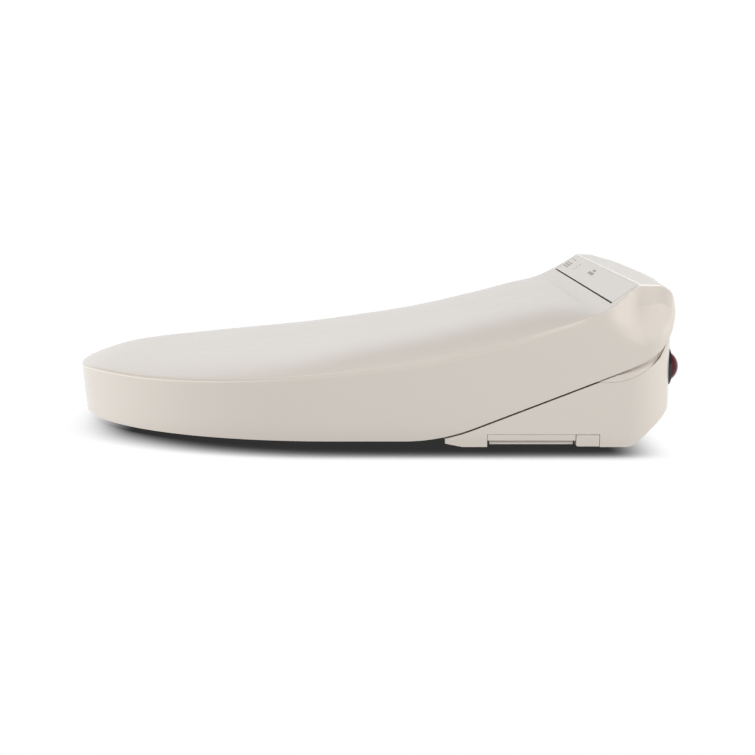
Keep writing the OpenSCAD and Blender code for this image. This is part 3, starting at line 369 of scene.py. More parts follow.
# Half-width inside the arms, how far the flank leans out, the wall, and the height of the skirt's edge.
ARM_HALF, DRAFT, WALL, SKIRT_Z = 175.4, 4.0, 2.2, 4.5
# The rim rises on a line with this height at y 0 and this slope; a fillet leads into it.
RIM_Z0, RIM_SLOPE, RIM_FILLET = 58.4, 0.3916, 160.0
# The arm's round end, and the wide arc between it and the line.
ARM_C, ARM_R, BLEND_R = np.array([13.2, 113.0]), 44.6, 100.0
# The arm's rear corner seen from above, where it ends, and the deck's fall behind the ridge.
CORNER, REAR, DECK_FALL = 28.0, 62.0, 0.05


def ease(t):
    """0 to 1 with level ends: three t squared less two t cubed."""
    t = np.clip(t, 0, 1)
    return t * t * (3 - 2 * t)


def spline(y, points):
    """Smooth curve through (place, value) points: cubic pieces whose slope at a point is that of the chord
    between its neighbours."""
    p = np.asarray(points, float)
    y = np.asarray(y, float)
    chord = np.diff(p[:, 1]) / np.diff(p[:, 0])
    slope = np.concatenate([chord[:1], (p[2:, 1] - p[:-2, 1]) / (p[2:, 0] - p[:-2, 0]), chord[-1:]])
    i = np.clip(np.searchsorted(p[:, 0], y, side="right") - 1, 0, len(p) - 2)
    h = p[i + 1, 0] - p[i, 0]
    t = (y - p[i, 0]) / h
    return ((1 + 2 * t) * (1 - t) ** 2 * p[i, 1] + t * (1 - t) ** 2 * h * slope[i]
            + t * t * (3 - 2 * t) * p[i + 1, 1] + t * t * (t - 1) * h * slope[i + 1])


print("halfway along a curve from 0 through 4 to 6:", spline(1.5, [(0, 0), (1, 4), (2, 6)]).round(2))

# %% [markdown]
# Four curves give the lid its form from the side: the height of its crease, how far the skin's middle stands
# above that, how far the crease leaves the flank over the arm, and how tall the steep band under it is.

# %% Crease, crown and band
CREASE = [(-475, 47.3), (-445, 51.7), (-380, 53), (-300, 56.8), (-220, 63), (-150, 71.6), (-90, 85.2),
          (-40, 100.6), (-6, 112.8), PANEL]
CROWN = [(-475, 7.4), (-445, 3.7), (-380, 3.7), (-276, 6.3), (-200, 11.8), (-120, 14.4), (-50, 11.6), (-15, 4.4),
         (-8, 1.5), (GAP_Y, 0.1), (60, 0)]
# The line on which the fan opens: its height at y 0 and its slope.
FAN_LINE = (113.3, 0.135)


def crease_z(y):
    """Height of the crease: the curve up to the panel, the panel's slope to the ridge, then the falling deck."""
    up = PANEL[1] + (y - PANEL[0]) * (RIDGE[1] - PANEL[1]) / (RIDGE[0] - PANEL[0])
    deck = RIDGE[1] - DECK_FALL * (y - RIDGE[0])
    return np.where(y < PANEL[0], spline(y, CREASE), np.where(y < RIDGE[0], up, deck))


def crown(y):
    """How far the middle of the skin stands above its creases."""
    return np.maximum(0, spline(y, CROWN))


def crease_in(y):
    """How far the crease has left the flank: it eases inwards over the arm, until 3 mm of flat top is left."""
    return (LID_A - ARM_HALF - 3) * ease((y + 3) / (RIDGE[0] + 3))


def band_fall(y):
    """Height of the steep band on the arm: from the crease down to the line on which the fan opens. In front of
    the arm it is only the height on which the crease is rounded."""
    return np.maximum(1.2 + 4.8 * ease((-10 - y) / 20), crease_z(y) - FAN_LINE[0] - FAN_LINE[1] * y)


print("crease at nose, middle and ridge, mm:", crease_z(np.array([-476.0, -230.0, 29.0])).round(1))

# %% [markdown]
# The lid's lower edge is made of lines and arcs, as a draughtsman would set it out. Each arc touches its
# neighbours, so the centre of the wide one follows from the two that it joins: it is as far from the line as
# its radius, and as far from the arm's centre as the difference of the two radii.

# %% Rim and rear corner
SLOPE = math.atan(RIM_SLOPE)
LIFT = (ARM_C[1] - RIM_Z0 - RIM_SLOPE * ARM_C[0]) * math.cos(SLOPE)
BLEND_C = (ARM_C + (BLEND_R - LIFT) * np.array([-math.sin(SLOPE), math.cos(SLOPE)])
           - math.sqrt((BLEND_R - ARM_R) ** 2 - (BLEND_R - LIFT) ** 2) * np.array([math.cos(SLOPE), math.sin(SLOPE)]))
BLEND_A = math.atan2(*(ARM_C - BLEND_C)[::-1])


def rim_low(y):
    """Lower edge of the skin seen from the side: level, a large fillet, a straight rise, a wide arc, then the
    round arm. Each arc is its centre's height less the root of the radius squared less the run squared."""
    def under(c, r):
        return c[1] - np.sqrt(np.maximum(r ** 2 - (y - c[0]) ** 2, 0))

    y1 = (SKIRT_Z - RIM_Z0) / RIM_SLOPE - RIM_FILLET * math.tan(SLOPE / 2)
    starts = [y1, y1 + RIM_FILLET * math.sin(SLOPE), BLEND_C[0] + BLEND_R * math.sin(SLOPE),
              ARM_C[0] + ARM_R * math.cos(BLEND_A)]
    return np.select([y < e for e in starts],
                     [SKIRT_Z + 0 * y, under((y1, SKIRT_Z + RIM_FILLET), RIM_FILLET), RIM_Z0 + RIM_SLOPE * y,
                      under(BLEND_C, BLEND_R)], under(ARM_C, ARM_R))


def plan_cut(y):
    """What the round rear corner takes off the half-width, seen from above: its radius less the root of the
    radius squared less the run squared."""
    return CORNER - np.sqrt(CORNER ** 2 - np.clip(y - REAR + CORNER, 0, CORNER) ** 2)


print("rim at the middle and under the hinge, mm:", rim_low(np.array([-230.0, HINGE[0]])).round(1))

# %% [markdown]
# ## The lid
# The lid is one hollow moulding. Its section is carried round the nose and back along both sides: up the
# drafted skirt, over a rounded crease, then up the shallow crown. Round the nose the rows run out from a pole
# in the middle of the lid like spokes, so the mesh stays even where the plan curves. The same section, drawn
# one wall smaller, is the inside, so each row runs from the middle of the inside down to the rim and back up to
# the middle of the outside. A Solidify modifier could do that, but it folds over where the wall ends in a point,
# as it does at the arms.

# %% Rounding a bundle of polylines


def rounded(corners, reach, samples):
    """Carries a bundle of polylines over their corners: each inner corner becomes a parabola that starts and
    ends reach before and after it, never past 0.45 of a leg. corners is rows x corners x 3."""
    parts = [corners[:, :1]]
    t = np.linspace(0, 1, samples)[None, :, None]
    for k in range(1, corners.shape[1] - 1):
        here, back, on = corners[:, k], corners[:, k - 1] - corners[:, k], corners[:, k + 1] - corners[:, k]
        back_len = np.linalg.norm(back, axis=1, keepdims=True) + 1e-9
        on_len = np.linalg.norm(on, axis=1, keepdims=True) + 1e-9
        r = np.asarray(reach[k - 1], float).reshape(-1, 1)
        a = here + back * np.minimum(r / back_len, 0.45)
        b = here + on * np.minimum(r / on_len, 0.45)
        parts.append((1 - t) ** 2 * a[:, None] + 2 * t * (1 - t) * here[:, None] + t * t * b[:, None])
    return np.concatenate([*parts, corners[:, -1:]], axis=1)


bend = rounded(np.array([[(0, 0, 0), (9, 0, 0), (9, 9, 0)]], float), [2], 5)
print("a square corner of 9 mm legs, rounded:", bend[0, :, :2].round(2).tolist())

# %% [markdown]
# The flank is a plain drafted wall round the nose. Over the arms it becomes three surfaces in one: the wall, a
# fan that leads inwards from it, and a steep band up to the crease. At the arm's end there is no height left for
# all three, so there each point leans in by its height alone and the surface stays smooth.

# %% The flank
# On the arm the fan grows from its least height to its full one along this run of y, mm.
FAN_LEAST, FAN_GROWS, FAN_FROM, FAN_RUN = 8, 22, -6, 46
# The most of the flank's height that band or fan may take, and the fan's part of the whole lean.
MOST, FAN_PART = 0.42, 0.9


def flank(k, c, y, top_z, inset=0.0):
    """Corners of the flank's section from its lower edge up to the crease. k and c are sine and cosine round
    the nose. The wall leans out by the draft; on the arm a fan leads in from the wall and a steep band stands on
    it. Inward leans and the round rear corner add up as the fourth root of the sum of fourth powers."""
    zc = crease_z(y)
    low = np.minimum(rim_low(y), top_z - 0.05)
    tall = top_z - low
    band_full, fan_full = band_fall(y), FAN_LEAST + FAN_GROWS * ease((y - FAN_FROM) / FAN_RUN)
    band, fan = np.minimum(band_full, MOST * tall), np.minimum(fan_full, MOST * tall)
    short = ease((y - 40) / 12)

    def point(z, share):
        out = DRAFT * (1 - z / zc) + inset
        by_height = FAN_PART * np.clip((z - zc + band_full + fan_full) / fan_full, 0, 1)
        inward = crease_in(y) * (share + short * (by_height - share))
        x = (LID_A - out) * k - (inward ** 4 + plan_cut(y) ** 4) ** 0.25
        x = np.where(y > GAP_Y, np.maximum(x, ARM_HALF + 0.3), x)
        return np.stack([x, y + out * c, z + 0 * y], axis=-1)

    return np.stack([point(low, 0), point(low + 0.5 * (tall - band - fan), 0), point(top_z - band - fan, 0),
                     point(top_z - band, FAN_PART), point(top_z, 1)], axis=1)


def reaches(y):
    """How far each corner of the section is rounded: the fan's foot fades widely, its top stays crisp."""
    arm = ease((y - FAN_FROM) / 35)
    return [3 + 0 * y, 3 + 11 * arm, 1.2 - 0.4 * arm, 3.0 - 0.9 * arm]


middle = flank(np.ones(1), np.zeros(1), np.array([MID_Y]), crease_z(np.array([MID_Y])))
print("flank at the middle, x and z in mm:", middle[0, :, [0, 2]].T.round(1).tolist())

# %% [markdown]
# Flank, rounded crease and top skin together are one row of points. The rows round the nose stand a degree
# apart, the straight ones a few millimetres.

# %% The lid's outside and inside
# Places on a row of the top skin: from the crease to the arm's inner side, and from there to the middle.
OUT_SHARE = np.linspace(0.36, 1, 6)
IN_SHARE = 1 - np.linspace(0, 1, 25)[1:]


def section(k, c, y, inset=0.0):
    """Whole half section at each row: flank, rounded crease and top skin out to the middle. A top point stands
    above the crease's height by the crown times one less the fifth power of its share of the way out."""
    top_z = crease_z(y)
    wall = flank(k, c, y, top_z - inset, inset)
    half = LID_A - crease_in(y) - inset
    split = (ARM_HALF / half)[:, None]
    shares = np.concatenate([1 - (1 - split) * OUT_SHARE, split * IN_SHARE], axis=1)
    x = (half * k)[:, None] * shares
    yy = MID_Y - (LID_B - inset) * c[:, None] * shares + (y - MID_Y + LID_B * c)[:, None]
    top = np.stack([x, yy, crease_z(yy) + crown(yy) * (1 - shares ** 5) - inset], axis=-1)
    edge = rounded(np.concatenate([wall, top[:, :1]], axis=1), reaches(y), 6)
    return np.concatenate([edge, top[:, 1:]], axis=1)


angles = np.radians(np.concatenate([np.linspace(0, 80, 81), np.linspace(81, 90, 10)]))
runs = np.concatenate([np.linspace(MID_Y, -40, 60)[1:], np.linspace(-38, GAP_Y, 22)])
row_k = np.concatenate([np.sin(angles), np.ones_like(runs)])
row_c = np.concatenate([np.cos(angles).round(9), np.zeros_like(runs)])
row_y = np.concatenate([MID_Y - LID_B * np.cos(angles), runs])
outside = section(row_k, row_c, row_y)
inside = section(row_k, row_c, row_y, WALL)
split_at = outside.shape[1] - len(IN_SHARE) - 1
print("lid rows and columns:", outside.shape[:2], "arm column", split_at)

# %% [markdown]
# Behind the panel's gap only the two arms go on. Each arm is a closed loop carried to its round end: up the
# flank, in along the top, down beside the panel and out along the underside. Its first row is the lid's last.
# Towards the end the rows follow the end's own circle, so that they crowd where it turns.

# %% Profile of the arms
ARM_TOP = [(30, 137), (41, 134.9), (45, 134.2), (48.5, 133), (52, 130.8), (54.5, 128.4), (57, 122), (60, 104)]
arc = np.linspace(BLEND_A, 0, 44)
arm_y = np.concatenate([np.linspace(GAP_Y, ARM_C[0] + ARM_R * math.cos(BLEND_A), 30),
                        ARM_C[0] + ARM_R * np.cos(arc[1:-1]), [ARM_C[0] + ARM_R - 0.01]])
tip = ARM_C + ARM_R * np.array([math.cos(math.radians(22)), math.sin(math.radians(22))])
# The top follows its own curve to the tip, and the end's circle beyond it.
arm_top = np.minimum(crease_z(arm_y), spline(arm_y, ARM_TOP))
round_end = ARM_C[1] + np.sqrt(np.maximum(ARM_R ** 2 - (arm_y - ARM_C[0]) ** 2, 0))
arm_top = np.where(arm_y > tip[0], np.minimum(arm_top, round_end), arm_top)
print("arm's top at the gap, ridge and end, mm:", np.interp([GAP_Y, RIDGE[0], 57.7], arm_y, arm_top).round(1))

# %% Arms as closed loops
wall = flank(np.ones_like(arm_y), np.zeros_like(arm_y), arm_y, arm_top)
edge_x = wall[:, -1, :1]
strip_z = arm_top[:, None] + crown(arm_y)[:, None] * (1 - (1 - (1 - ARM_HALF / edge_x) * OUT_SHARE) ** 5)
strip = np.stack([edge_x + (ARM_HALF - edge_x) * OUT_SHARE, arm_y[:, None] + 0 * strip_z, strip_z], axis=-1)
skin = rounded(np.concatenate([wall, strip[:, :1]], axis=1), reaches(arm_y), 6)
skin = np.concatenate([skin, strip[:, 1:]], axis=1)
low_x, low_z = skin[:, 0, 0], skin[:, 0, 2]
down = strip_z[:, -1] - np.minimum(WALL, 0.3 * (arm_top - low_z))
inner_z = low_z[:, None] + (down - low_z)[:, None] * np.linspace(1, 0, 6)
inner_wall = np.stack([ARM_HALF + 0 * inner_z, arm_y[:, None] + 0 * inner_z, inner_z], axis=-1)
floor_end = np.maximum(low_x - WALL, ARM_HALF + 0.15)
floor_x = ARM_HALF + (floor_end - ARM_HALF)[:, None] * np.linspace(0, 1, 5)[1:]
under = np.stack([floor_x, arm_y[:, None] + 0 * floor_x, low_z[:, None] + 0 * floor_x], axis=-1)
loop = np.concatenate([skin, inner_wall, under], axis=1)
loop[0, split_at + 1] = inside[-1, split_at]
print("arm rows and columns:", loop.shape[:2])

# %% [markdown]
# The parts meet point on point, so merging makes them one skin. Two faces with many corners close what is left:
# the wall's edge along the panel's gap, and the tip of the arm. The left half is the right one with x turned
# round, which turns its faces inside out, so all of them are pointed outwards after the merge.

# %% The lid as one closed mesh
rows, cols = outside.shape[:2]
sheet = np.concatenate([inside[:, ::-1], outside], axis=1)
rear_edge = np.stack([outside[-1, split_at:], inside[-1, split_at:]], axis=0)
plug = np.concatenate([inside[-1, :split_at + 1], loop[0, split_at + 2:-1]])
half_lid = joined((sheet, grid_faces(rows, 2 * cols)), (rear_edge, grid_faces(2, rear_edge.shape[1])),
                  (loop, grid_faces(len(arm_y), loop.shape[1], wrap_cols=True)),
                  (plug, [list(range(len(plug)))]), (loop[-1], [list(range(loop.shape[1]))]))
flip = np.array([-1, 1, 1])
lid_skin = new_object("lid_skin", *joined(half_lid, (half_lid[0] * flip, half_lid[1])), body_of["lid_shell"])
merge(lid_skin, 1e-5, 40, outwards=True)
soften(lid_skin, 0.5, 2, 50)
lid_skin.data.materials.append(lid_abs)
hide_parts("lid_shell")
print("lid skin faces:", len(lid_skin.data.polygons))

# %% [markdown]
# Under each arm a guard closes the gap over the body's hollow, so that no finger can get in. It turns with the
# lid, so its lower edge is a circle about the hinge. Its outer face is flush with the body up to a line, and
# above that it is a cove that runs in under the arm. It could be cut from a disc, but then its face would not
# follow the body's round corner.

# %% The guard's section
# Radius about the hinge, and the body seen from above: half-width, corner and rear.
SWEEP, BODY_HALF, BODY_CORNER, BODY_REAR = 56.8, 192.5, 40.0, 59.3
# x of the guard's back, of the cove's deepest line and of the face where the body's corner has fallen away.
GUARD_BACK, COVE_LEAST, FACE_LEAST = 176.2, 177.2, 178.5
# How far below the rim the flush face ends, from front to rear.
GUARD_LINE = [(-12, 1.5), (6, 1.5), (25.8, 4.3), (39.2, 7.4), (49.5, 10.8), (60, 14)]
guard_y = np.concatenate([np.linspace(-7.2, 10, 12), np.linspace(12, 53, 36)])
guard_low = HINGE[1] - np.sqrt(SWEEP ** 2 - (guard_y - HINGE[0]) ** 2)
guard_top = rim_low(guard_y) + 0.8
guard_line = np.clip(rim_low(guard_y) - spline(guard_y, GUARD_LINE), guard_low + 0.05, guard_top - 0.9)
run = np.clip(guard_y - BODY_REAR + BODY_CORNER, 0, BODY_CORNER)
guard_x = np.maximum(BODY_HALF - BODY_CORNER + np.sqrt(BODY_CORNER ** 2 - run ** 2) - 0.05, FACE_LEAST)
face_z = guard_low[:, None] + (guard_line - guard_low)[:, None] * np.linspace(0, 1, 5)
# The cove runs in as one less the square of what is left of its height, up to 4.5 mm.
rise = np.linspace(0, 1, 9)[1:]
cove_z = guard_line[:, None] + (guard_top - guard_line)[:, None] * rise
cove_x = guard_x[:, None] - np.minimum(4.5, guard_x - COVE_LEAST)[:, None] * (1 - (1 - rise) ** 2)
back_z = np.stack([guard_top, guard_low], axis=1)
guard_xz = np.concatenate([np.stack([guard_x[:, None] + 0 * face_z, face_z], -1), np.stack([cove_x, cove_z], -1),
                           np.stack([GUARD_BACK + 0 * back_z, back_z], -1)], axis=1)
around = guard_xz.shape[1]
guard = np.stack([guard_xz[..., 0], np.repeat(guard_y[:, None], around, 1), guard_xz[..., 1]], axis=-1)
print("guard rows and columns:", guard.shape[:2])

# %% Both guards
ends = [list(range(around)), list(range((len(guard_y) - 1) * around, len(guard_y) * around))]
for name, side in (("lid_arm_guard_right", 1), ("lid_arm_guard_left", -1)):
    faces = [*grid_faces(len(guard_y), around, wrap_cols=True).tolist(), *ends]
    piece = new_object(name, guard * np.array([side, 1, 1]), faces, body_of["lid_shell"])
    merge(piece, 1e-6, 30, outwards=True)
    piece.data.materials.append(lid_abs)
print("guard faces:", len(piece.data.polygons))

# %% [markdown]
# ## The seat ring
# The ring is an oval round a longer opening. Its section is highest near the outer edge and falls away
# towards the opening, so that it fits a thigh. It is two mouldings with the heater between them, and a rail
# on each side carries it up to the hinge. One plan with two parameters, the way round and the way across, gives
# both mouldings, so they fit each other by themselves.

# %% Seat curves
# Half-width, nose, tail and where the widest line lies, mm: of the ring's outer edge and of its opening.
SEAT_A, SEAT_NOSE, SEAT_TAIL, SEAT_MID = 183.0, 463.0, 76.0, -230.0
OPEN_A, OPEN_NOSE, OPEN_TAIL, OPEN_MID = 106.0, 397.0, 147.0, -262.0
# Height along y, the bumpers' height, and the gaps from the body to the lid's rim and from the rim to the seat.
SEAT_TOP = [(-463, 35), (-380, 40), (-280, 45), (-180, 52.5), (-130, 60), (-76, 74)]
FEET, RIM_GAP, SEAT_GAP = 6.0, 1.5, 3.0
# Section of the top moulding: share of the way across, and how far it has dropped.
PROFILE = np.array([(0, 9), (0.025, 4), (0.08, 1), (0.2, 0), (0.42, 0.3), (0.64, 2.4), (0.82, 6), (0.93, 10.5),
                    (0.99, 16), (1, 20)])


def seat_under(y):
    """Underside of the ring: flat on its bumpers, then eased up over the body's wings."""
    over = RIM_Z0 + RIM_SLOPE * y - RIM_GAP + SEAT_GAP
    return FEET + np.maximum(0, over - FEET) * ease((y + 172) / 40)


def oval(t, a, front_b, back_b, mid, squareness):
    """Superellipse: half-width a, front and back lengths of its own, squarer at the back."""
    k, c = np.sin(t), np.cos(t)
    e = np.where(c > 0, 2.0, squareness)
    return np.stack([a * np.sign(k) * np.abs(k) ** (2 / e),
                     mid - np.where(c > 0, front_b, back_b) * np.sign(c) * np.abs(c) ** (2 / e)], axis=-1)


def seat_plan(t, share):
    """Place on the ring: share 0 on its outer edge and 1 on the edge of the opening."""
    outer = oval(t, SEAT_A, SEAT_NOSE + SEAT_MID, -SEAT_TAIL - SEAT_MID, SEAT_MID, 5.5)
    inner = oval(t, OPEN_A, OPEN_NOSE + OPEN_MID, -OPEN_TAIL - OPEN_MID, OPEN_MID, 2.4)
    return outer[:, None] + (inner - outer)[:, None] * np.asarray(share)[None, :, None]


def layer(t, shares, height):
    """Points at those shares of the ring's width, with heights worked out from their y."""
    p = seat_plan(t, shares)
    return np.concatenate([p, height(p[..., 1])[..., None]], axis=-1)


print("seat's underside at nose and tail, mm:", seat_under(np.array([-SEAT_NOSE, -SEAT_TAIL])).round(1))

# %% The ring's two mouldings
AROUND = 288
turn = np.linspace(0, 2 * np.pi, AROUND, endpoint=False)
way = np.concatenate([[0], np.cumsum(np.hypot(*(np.diff(PROFILE, axis=0) * (77, 1)).T))])
fine = np.linspace(0, way[-1], 44)
drop = spline(fine, np.stack([way, PROFILE[:, 1]], axis=1))
share = np.clip(spline(fine, np.stack([way, PROFILE[:, 0]], axis=1)), 0, 1)
flat = np.linspace(0, 1, 9)
top_under = layer(turn, flat, lambda y: seat_under(y) + 3.4)
top_over = layer(turn, share, lambda y: spline(y, SEAT_TOP))
top_over[..., 2] = np.maximum(top_over[..., 2] - drop, seat_under(top_over[..., 1]) + 5.4)
base_over = layer(turn, flat[::-1], lambda y: seat_under(y) + 2.38)
for name, node, ring in (("seat_ring_top", "seat_top", np.concatenate([top_under, top_over[:, ::-1]], axis=1)),
                         ("seat_ring_base", "seat_base",
                          np.concatenate([layer(turn, flat, seat_under), base_over], axis=1))):
    piece = new_object(name, ring, grid_faces(AROUND, ring.shape[1], True, True)[:, ::-1].tolist(), body_of[node])
    merge(piece, 1e-5, 40)
    piece.data.materials.append(seat_abs)
    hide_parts(node)
    print(name, "faces:", len(piece.data.polygons))

# %% [markdown]
# A rail is one outline seen from the side, drawn twice and joined by a hoop of faces. Its end is an arc about the
# hinge, so that it turns round the pin.

# %% Seat rails
EYE, RAIL_X = 3.1, (160.8, 170.8)
around = np.radians(np.linspace(-60, 118, 28))
rail = np.concatenate([[(-125, 30), (-98, 40), (-52, 66), (-9, 92), (2.5, 104)],
                       np.stack([HINGE[0] + EYE * np.cos(around), HINGE[1] + EYE * np.sin(around)], axis=1),
                       [(-44, 90.2), (-90, 69), (-125, 52)]])
n = len(rail)
for name, x0, x1 in (("seat_rail_right", *RAIL_X), ("seat_rail_left", -RAIL_X[1], -RAIL_X[0])):
    sides = np.concatenate([np.column_stack([np.full(n, x), rail]) for x in (x0, x1)])
    hoop = [[i, (i + 1) % n, n + (i + 1) % n, n + i] for i in range(n)]
    piece = new_object(name, sides, [*hoop, list(range(n))[::-1], list(range(n, 2 * n))], body_of["seat_top"])
    merge(piece, 1e-6, 30)
    soften(piece, 0.8, 3, 40)
    piece.data.materials.append(seat_abs)
print("points on a rail's outline:", n)

# %% [markdown]
# ## The other pieces
# Every other piece keeps the exact form of the frame. A copy of each one is merged, its edges are rounded by
# a few tenths of a millimetre as a moulding or a turned part has them, and it takes its own finish. Modelling
# them again would add nothing, since their form is already right; what they lack is their edges and finish.

# %% Which piece gets which finish
FINISH = [
    ("body_gloss", cover_abs, ["main_cover"]),
    ("body_gloss", body_abs, ["filter_drawer", "release_button"]),
    ("panel_gloss", panel_abs, ["display_panel"]),
    ("lens_smoke", lens, ["indicator_lens"]),
    ("dome_red", dome, ["sensor_dome"]),
    ("bezel_black", bezel, ["sensor_bezel"]),
    ("steel", steel, ["hinge_pin_left", "hinge_pin_right", "wand_motor_a", "wand_motor_b"]),
    ("white_plastic", white_pp, ["cleansing_wand", "bidet_wand", "dryer_flap", "solenoid_valve", "water_pipes",
                                 "wand_pinion_a", "wand_pinion_b"]),
    ("grey_plastic", grey_pp, ["base_plate", "bottom_case", "cleansing_tip", "bidet_tip", "nozzle_cradle",
                               "dryer_duct", "deodoriser_duct", "drain_plug", "blower_impeller", "inlet_strainer"]),
    ("dark_plastic", dark_pp, ["blower_housing", "deodoriser_fan", "cord_gland", "flow_pump"]),
    ("carbon", charcoal, ["filter_cartridge"]),
    ("brass_part", brass, ["water_inlet"]),
    ("zinc", zinc, ["tank_bracket"]),
    ("heater_foil", foil, ["seat_heater"]),
    ("tank_plastic", tank_pp, ["heater_tank"]),
    ("board_green", board, ["control_board", "power_board"]),
    ("rubber_grey", rubber, ["foot_pad_1", "foot_pad_2", "foot_pad_3", "foot_pad_4", "seat_bumper_1",
                             "seat_bumper_2", "seat_bumper_3", "seat_bumper_4", "lid_bumper_1", "lid_bumper_2"]),
]
PLAIN = {"seat_heater", "filter_cartridge"}
# Radius of the edges in mm where it is not a quarter of a millimetre.
ROUND_BY = {"main_cover": 1.2, "display_panel": 0.25, "filter_drawer": 0.3, "release_button": 0.4,
            "indicator_lens": 0.1, "base_plate": 0.4, "bottom_case": 0.3}
print("pieces with a finish:", sum(len(nodes) for _, _, nodes in FINISH))

# %% [markdown]
# The cover needs two things more. Its ridge is rounder than its other edges, and the edge that the guard turns
# past is almost sharp, so its edges carry weights. And its deck is not straight behind, but bowed.

# %% The cover's edges and its bowed deck
# Radius of the hollow that the guard turns in.
HOLLOW_R = 57


def cover_share(middle):
    """Share of the cover's edge rounding: all of it on the ridge, least round the guard's hollow."""
    x, y, z = middle.T
    ridge = (abs(y - RIDGE[0]) < 0.7) & (abs(z - RIDGE[1]) < 0.7)
    hollow = (abs(np.hypot(y - HINGE[0], z - HINGE[1]) - HOLLOW_R) < 0.4) & (z < 90) & (abs(x) > 170)
    return np.where(ridge, 1.0, np.where(hollow, 0.08, 0.42))


# Where the deck is cut so that it can bend, and the bow itself: (distance from the middle, how far back), mm.
CUTS = (40, 80, 107, 130, 145, 158, 168)
BOW = np.array([(0, 8.8), (60, 8.5), (107, 6.9), (130, 3.8), (150, 1.8), (174, 0.3)])
# Share of the bow at each height: all of it on the deck, none of it on the flat back.
BOW_FADE = np.array([(108, 0), (120, 0.5), (129, 0.68), (133.2, 0.88), (134.5, 1)])


def bow_deck(mesh):
    """Carries the deck's rear edge back on a bow, nearly 9 mm in the middle and nothing at its ends, which also
    fades out down the back."""
    work = bmesh.new()
    work.from_mesh(mesh)
    for x in CUTS:
        for side in (-1, 1):
            bmesh.ops.bisect_plane(work, geom=[*work.verts, *work.edges, *work.faces], dist=1e-7,
                                   plane_co=(side * x * MM, 0, 0), plane_no=(1, 0, 0))
    work.to_mesh(mesh)
    work.free()
    at = np.empty(len(mesh.vertices) * 3, np.float32)
    mesh.vertices.foreach_get("co", at)
    x, y, z = at.reshape(-1, 3).T / MM
    share = np.interp(z, *BOW_FADE.T)
    bow = np.interp(np.abs(x), *BOW.T)
    at.reshape(-1, 3)[:, 1] += np.where(y > 40, bow * share, 0) * MM
    mesh.vertices.foreach_set("co", at)
    mesh.update()


print("bow of the deck at its middle, mm:", BOW[0, 1])

# %% Copies with softened edges
count = 0
for slot_name, finish, nodes in FINISH:
    for node in nodes:
        source = frame["nodes"][node]
        if node in PLAIN:
            source.data.materials.clear()
            source.data.materials.append(finish)
            continue
        mesh = source.data.copy()
        mesh.materials.clear()
        mesh.materials.append(finish)
        piece = bpy.data.objects.new(node + "_finished", mesh)
        bpy.context.scene.collection.objects.link(piece)
        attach(piece, body_of[node])
        merge(piece, 1e-6, 24)
        cover = node == "main_cover"
        if cover:
            bow_deck(mesh)
        soften(piece, ROUND_BY.get(node, 0.25), 2, share=cover_share if cover else None)
        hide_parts(node)
        count += 1
print("finished copies:", count)

# %% [markdown]
# ## Camera, light and floor
# The camera stands beside the seat, a little above it, with a long lens, which keeps the long skins from
# growing towards it.

# %% Camera
camera = bpy.data.objects.new("camera", bpy.data.cameras.new("camera"))
bpy.context.scene.collection.objects.link(camera)
camera.location = (1.2697, -0.19, 0.237)
LOOKS_DOWN = 9.385
camera.rotation_euler = (math.radians(90 - LOOKS_DOWN), 0, math.radians(90))
camera.data.lens, camera.data.sensor_width = 62.75, 36
camera.data.clip_start, camera.data.clip_end = 0.05, 50
bpy.context.scene.camera = camera
print("camera at", [round(v, 3) for v in camera.location])

# %% [markdown]
# A white studio lights such a thing with wide soft boxes: one towards the nose, one towards the back, and one
# high at the side for the crown. They are left out of reflections, because a gloss as clean as this one would
# show each as a bright window; the mirrored room is drawn in the world instead.

# %% Soft boxes


def soft_box(name, place, aim, width, height, power):
    """A rectangular lamp of that size in metres at a place, turned to face aim."""
    lamp = bpy.data.lights.new(name, "AREA")
    lamp.shape, lamp.size, lamp.size_y, lamp.energy = "RECTANGLE", width, height, power
    obj = bpy.data.objects.new(name, lamp)
    bpy.context.scene.collection.objects.link(obj)
    obj.location = place
    obj.rotation_mode = "QUATERNION"
    obj.rotation_quaternion = (Vector(aim) - Vector(place)).to_track_quat("-Z", "Y")
    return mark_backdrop(obj) or obj


for box in (soft_box("nose_box", (0.5, -2.2, 0.9), (0, -0.3, 0.05), 1.4, 1.0, 37),
            soft_box("rear_box", (1.0, 1.9, 0.8), (0, 0.0, 0.08), 0.7, 1.0, 34),
            soft_box("side_box", (2.3, -0.1, 2.05), (0, -0.2, 0.05), 1.4, 1.4, 34)):
    box.visible_glossy = False
print("lamps:", len(bpy.data.lights))

# %% [markdown]
# The world is three things at once. It is the white behind the object, a dim even room that fills the shadows,
# and the picture in the gloss: white up to the height of the walls, darker towards the ceiling. Light Path tells
# the three kinds of ray apart.

# %% The room
world = bpy.data.worlds.new("room")
bpy.context.scene.world = world
world.use_nodes = True
tree = world.node_tree
tree.nodes.clear()
path = add(tree, "LightPath")
sharp = add(tree, "Math", {0: path.outputs["Is Camera Ray"], 1: path.outputs["Is Transmission Ray"]},
            operation="ADD")
seen = add(tree, "Math", {0: path.outputs["Is Glossy Ray"], 1: 1.0, 2: sharp.outputs[0]},
           operation="MULTIPLY_ADD", use_clamp=True)
heading = add(tree, "TexCoord")
climb = add(tree, "SeparateXYZ", {"Vector": heading.outputs["Generated"]})
ceiling = mask_of(tree, (climb.outputs["Z"], 0.15, 0.55, 1.0, 0.4))
sky = add(tree, "Math", {0: ceiling, 1: sharp.outputs[0]}, operation="MAXIMUM")
ROOM = 0.19
room = add(tree, "Background", {"Color": (ROOM, ROOM, ROOM, 1.0), "Strength": 1.0})
white = add(tree, "Background", {"Color": sky.outputs[0], "Strength": 1.0})
mix = add(tree, "MixShader", {0: seen.outputs[0], 1: room.outputs[0], 2: white.outputs[0]})
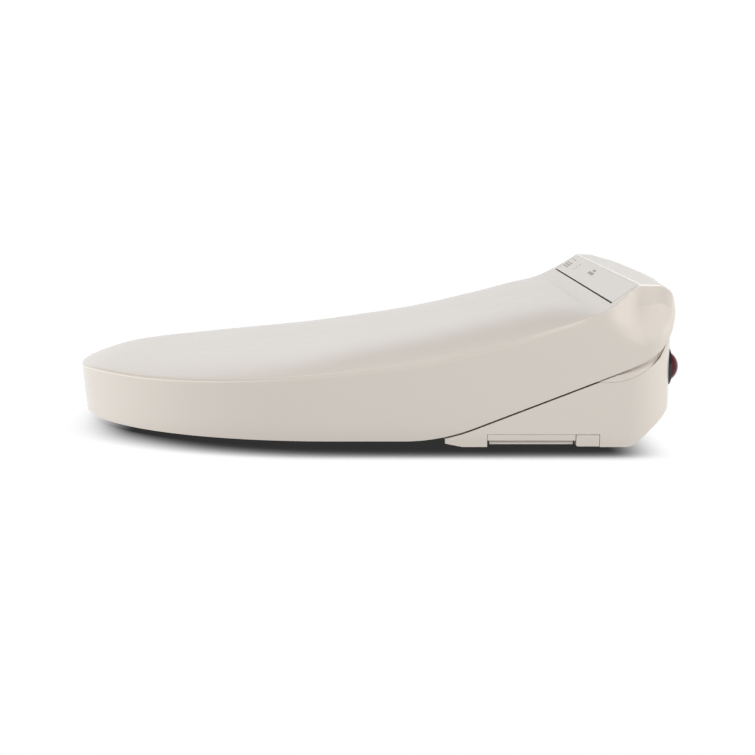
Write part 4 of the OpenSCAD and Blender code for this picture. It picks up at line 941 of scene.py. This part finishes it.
add(tree, "OutputWorld", {"Surface": mix.outputs[0]})
print("nodes in the world:", len(tree.nodes))

# %% [markdown]
# The floor is a white sweep whose edge is never seen, so it gives out its own white. Ambient occlusion looks for
# the object just above it and draws the soft shadow, deepest under the long skirt and gone beyond the nose and
# the rear, where light comes in from the ends. To the rays that light the object it is a dimmer floor, and from
# below it is clear, so that the underside can be looked at.

# %% The floor and its shadow
FAR = 6000
corners = [(-FAR, -FAR, 0), (FAR, -FAR, 0), (FAR, FAR, 0), (-FAR, FAR, 0)]
floor = new_object("floor", corners, [[0, 1, 2, 3]], "base")
floor.parent = None
floor_mat = bpy.data.materials.new("white_sweep")
floor_mat.use_nodes = True
tree = floor_mat.node_tree
tree.nodes.clear()
REACH, DEEPEST, FLOOR_LIGHT = 55 * MM, 0.97, 0.52
near = add(tree, "AmbientOcclusion", {"Distance": REACH, "Color": (1, 1, 1, 1)}, samples=32)
open_sky = add(tree, "MapRange", {"Value": near.outputs["AO"], "From Min": 0.45, "From Max": 0.98, "To Min": 0.0,
                                  "To Max": 1.0})
place = add(tree, "TexCoord")
along = add(tree, "SeparateXYZ", {"Vector": place.outputs["Object"]}).outputs["Y"]
edge_fall = mask_of(tree, (along, -470 * MM, -130 * MM, 0.8, 6.0))
steep = add(tree, "Math", {0: open_sky.outputs[0], 1: edge_fall}, operation="POWER")
depth = mask_of(tree, (along, -478 * MM, -405 * MM, 0.0, 1.0), (along, 0.0, 55 * MM, 1.0, 0.0))
shadow = add(tree, "Math", {0: DEEPEST, 1: steep.outputs[0]}, operation="SUBTRACT", use_clamp=True)
shade = add(tree, "Math", {0: shadow.outputs[0], 1: depth}, operation="MULTIPLY")
light = add(tree, "Math", {0: 1.0, 1: shade.outputs[0]}, operation="SUBTRACT", use_clamp=True)
path = add(tree, "LightPath")
level = add(tree, "Mix", {0: path.outputs["Is Diffuse Ray"], 2: light.outputs[0], 3: FLOOR_LIGHT},
            data_type="FLOAT")
glow = add(tree, "Emission", {"Color": level.outputs[0], "Strength": 1.0})
clear = add(tree, "BsdfTransparent")
face = add(tree, "NewGeometry")
both_sides = add(tree, "MixShader", {0: face.outputs["Backfacing"], 1: glow.outputs[0], 2: clear.outputs[0]})
add(tree, "OutputMaterial", {"Surface": both_sides.outputs[0]})
# Left out of the lamps' list, or the floor would shine with its full white on the object.
floor_mat.cycles.emission_sampling = "NONE"
floor.data.materials.append(floor_mat)
print("floor's half-width, m:", FAR * MM)

# %% [markdown]
# Colours are shown as they are written.

# %% Colour view
bpy.context.scene.view_settings.view_transform = "Standard"
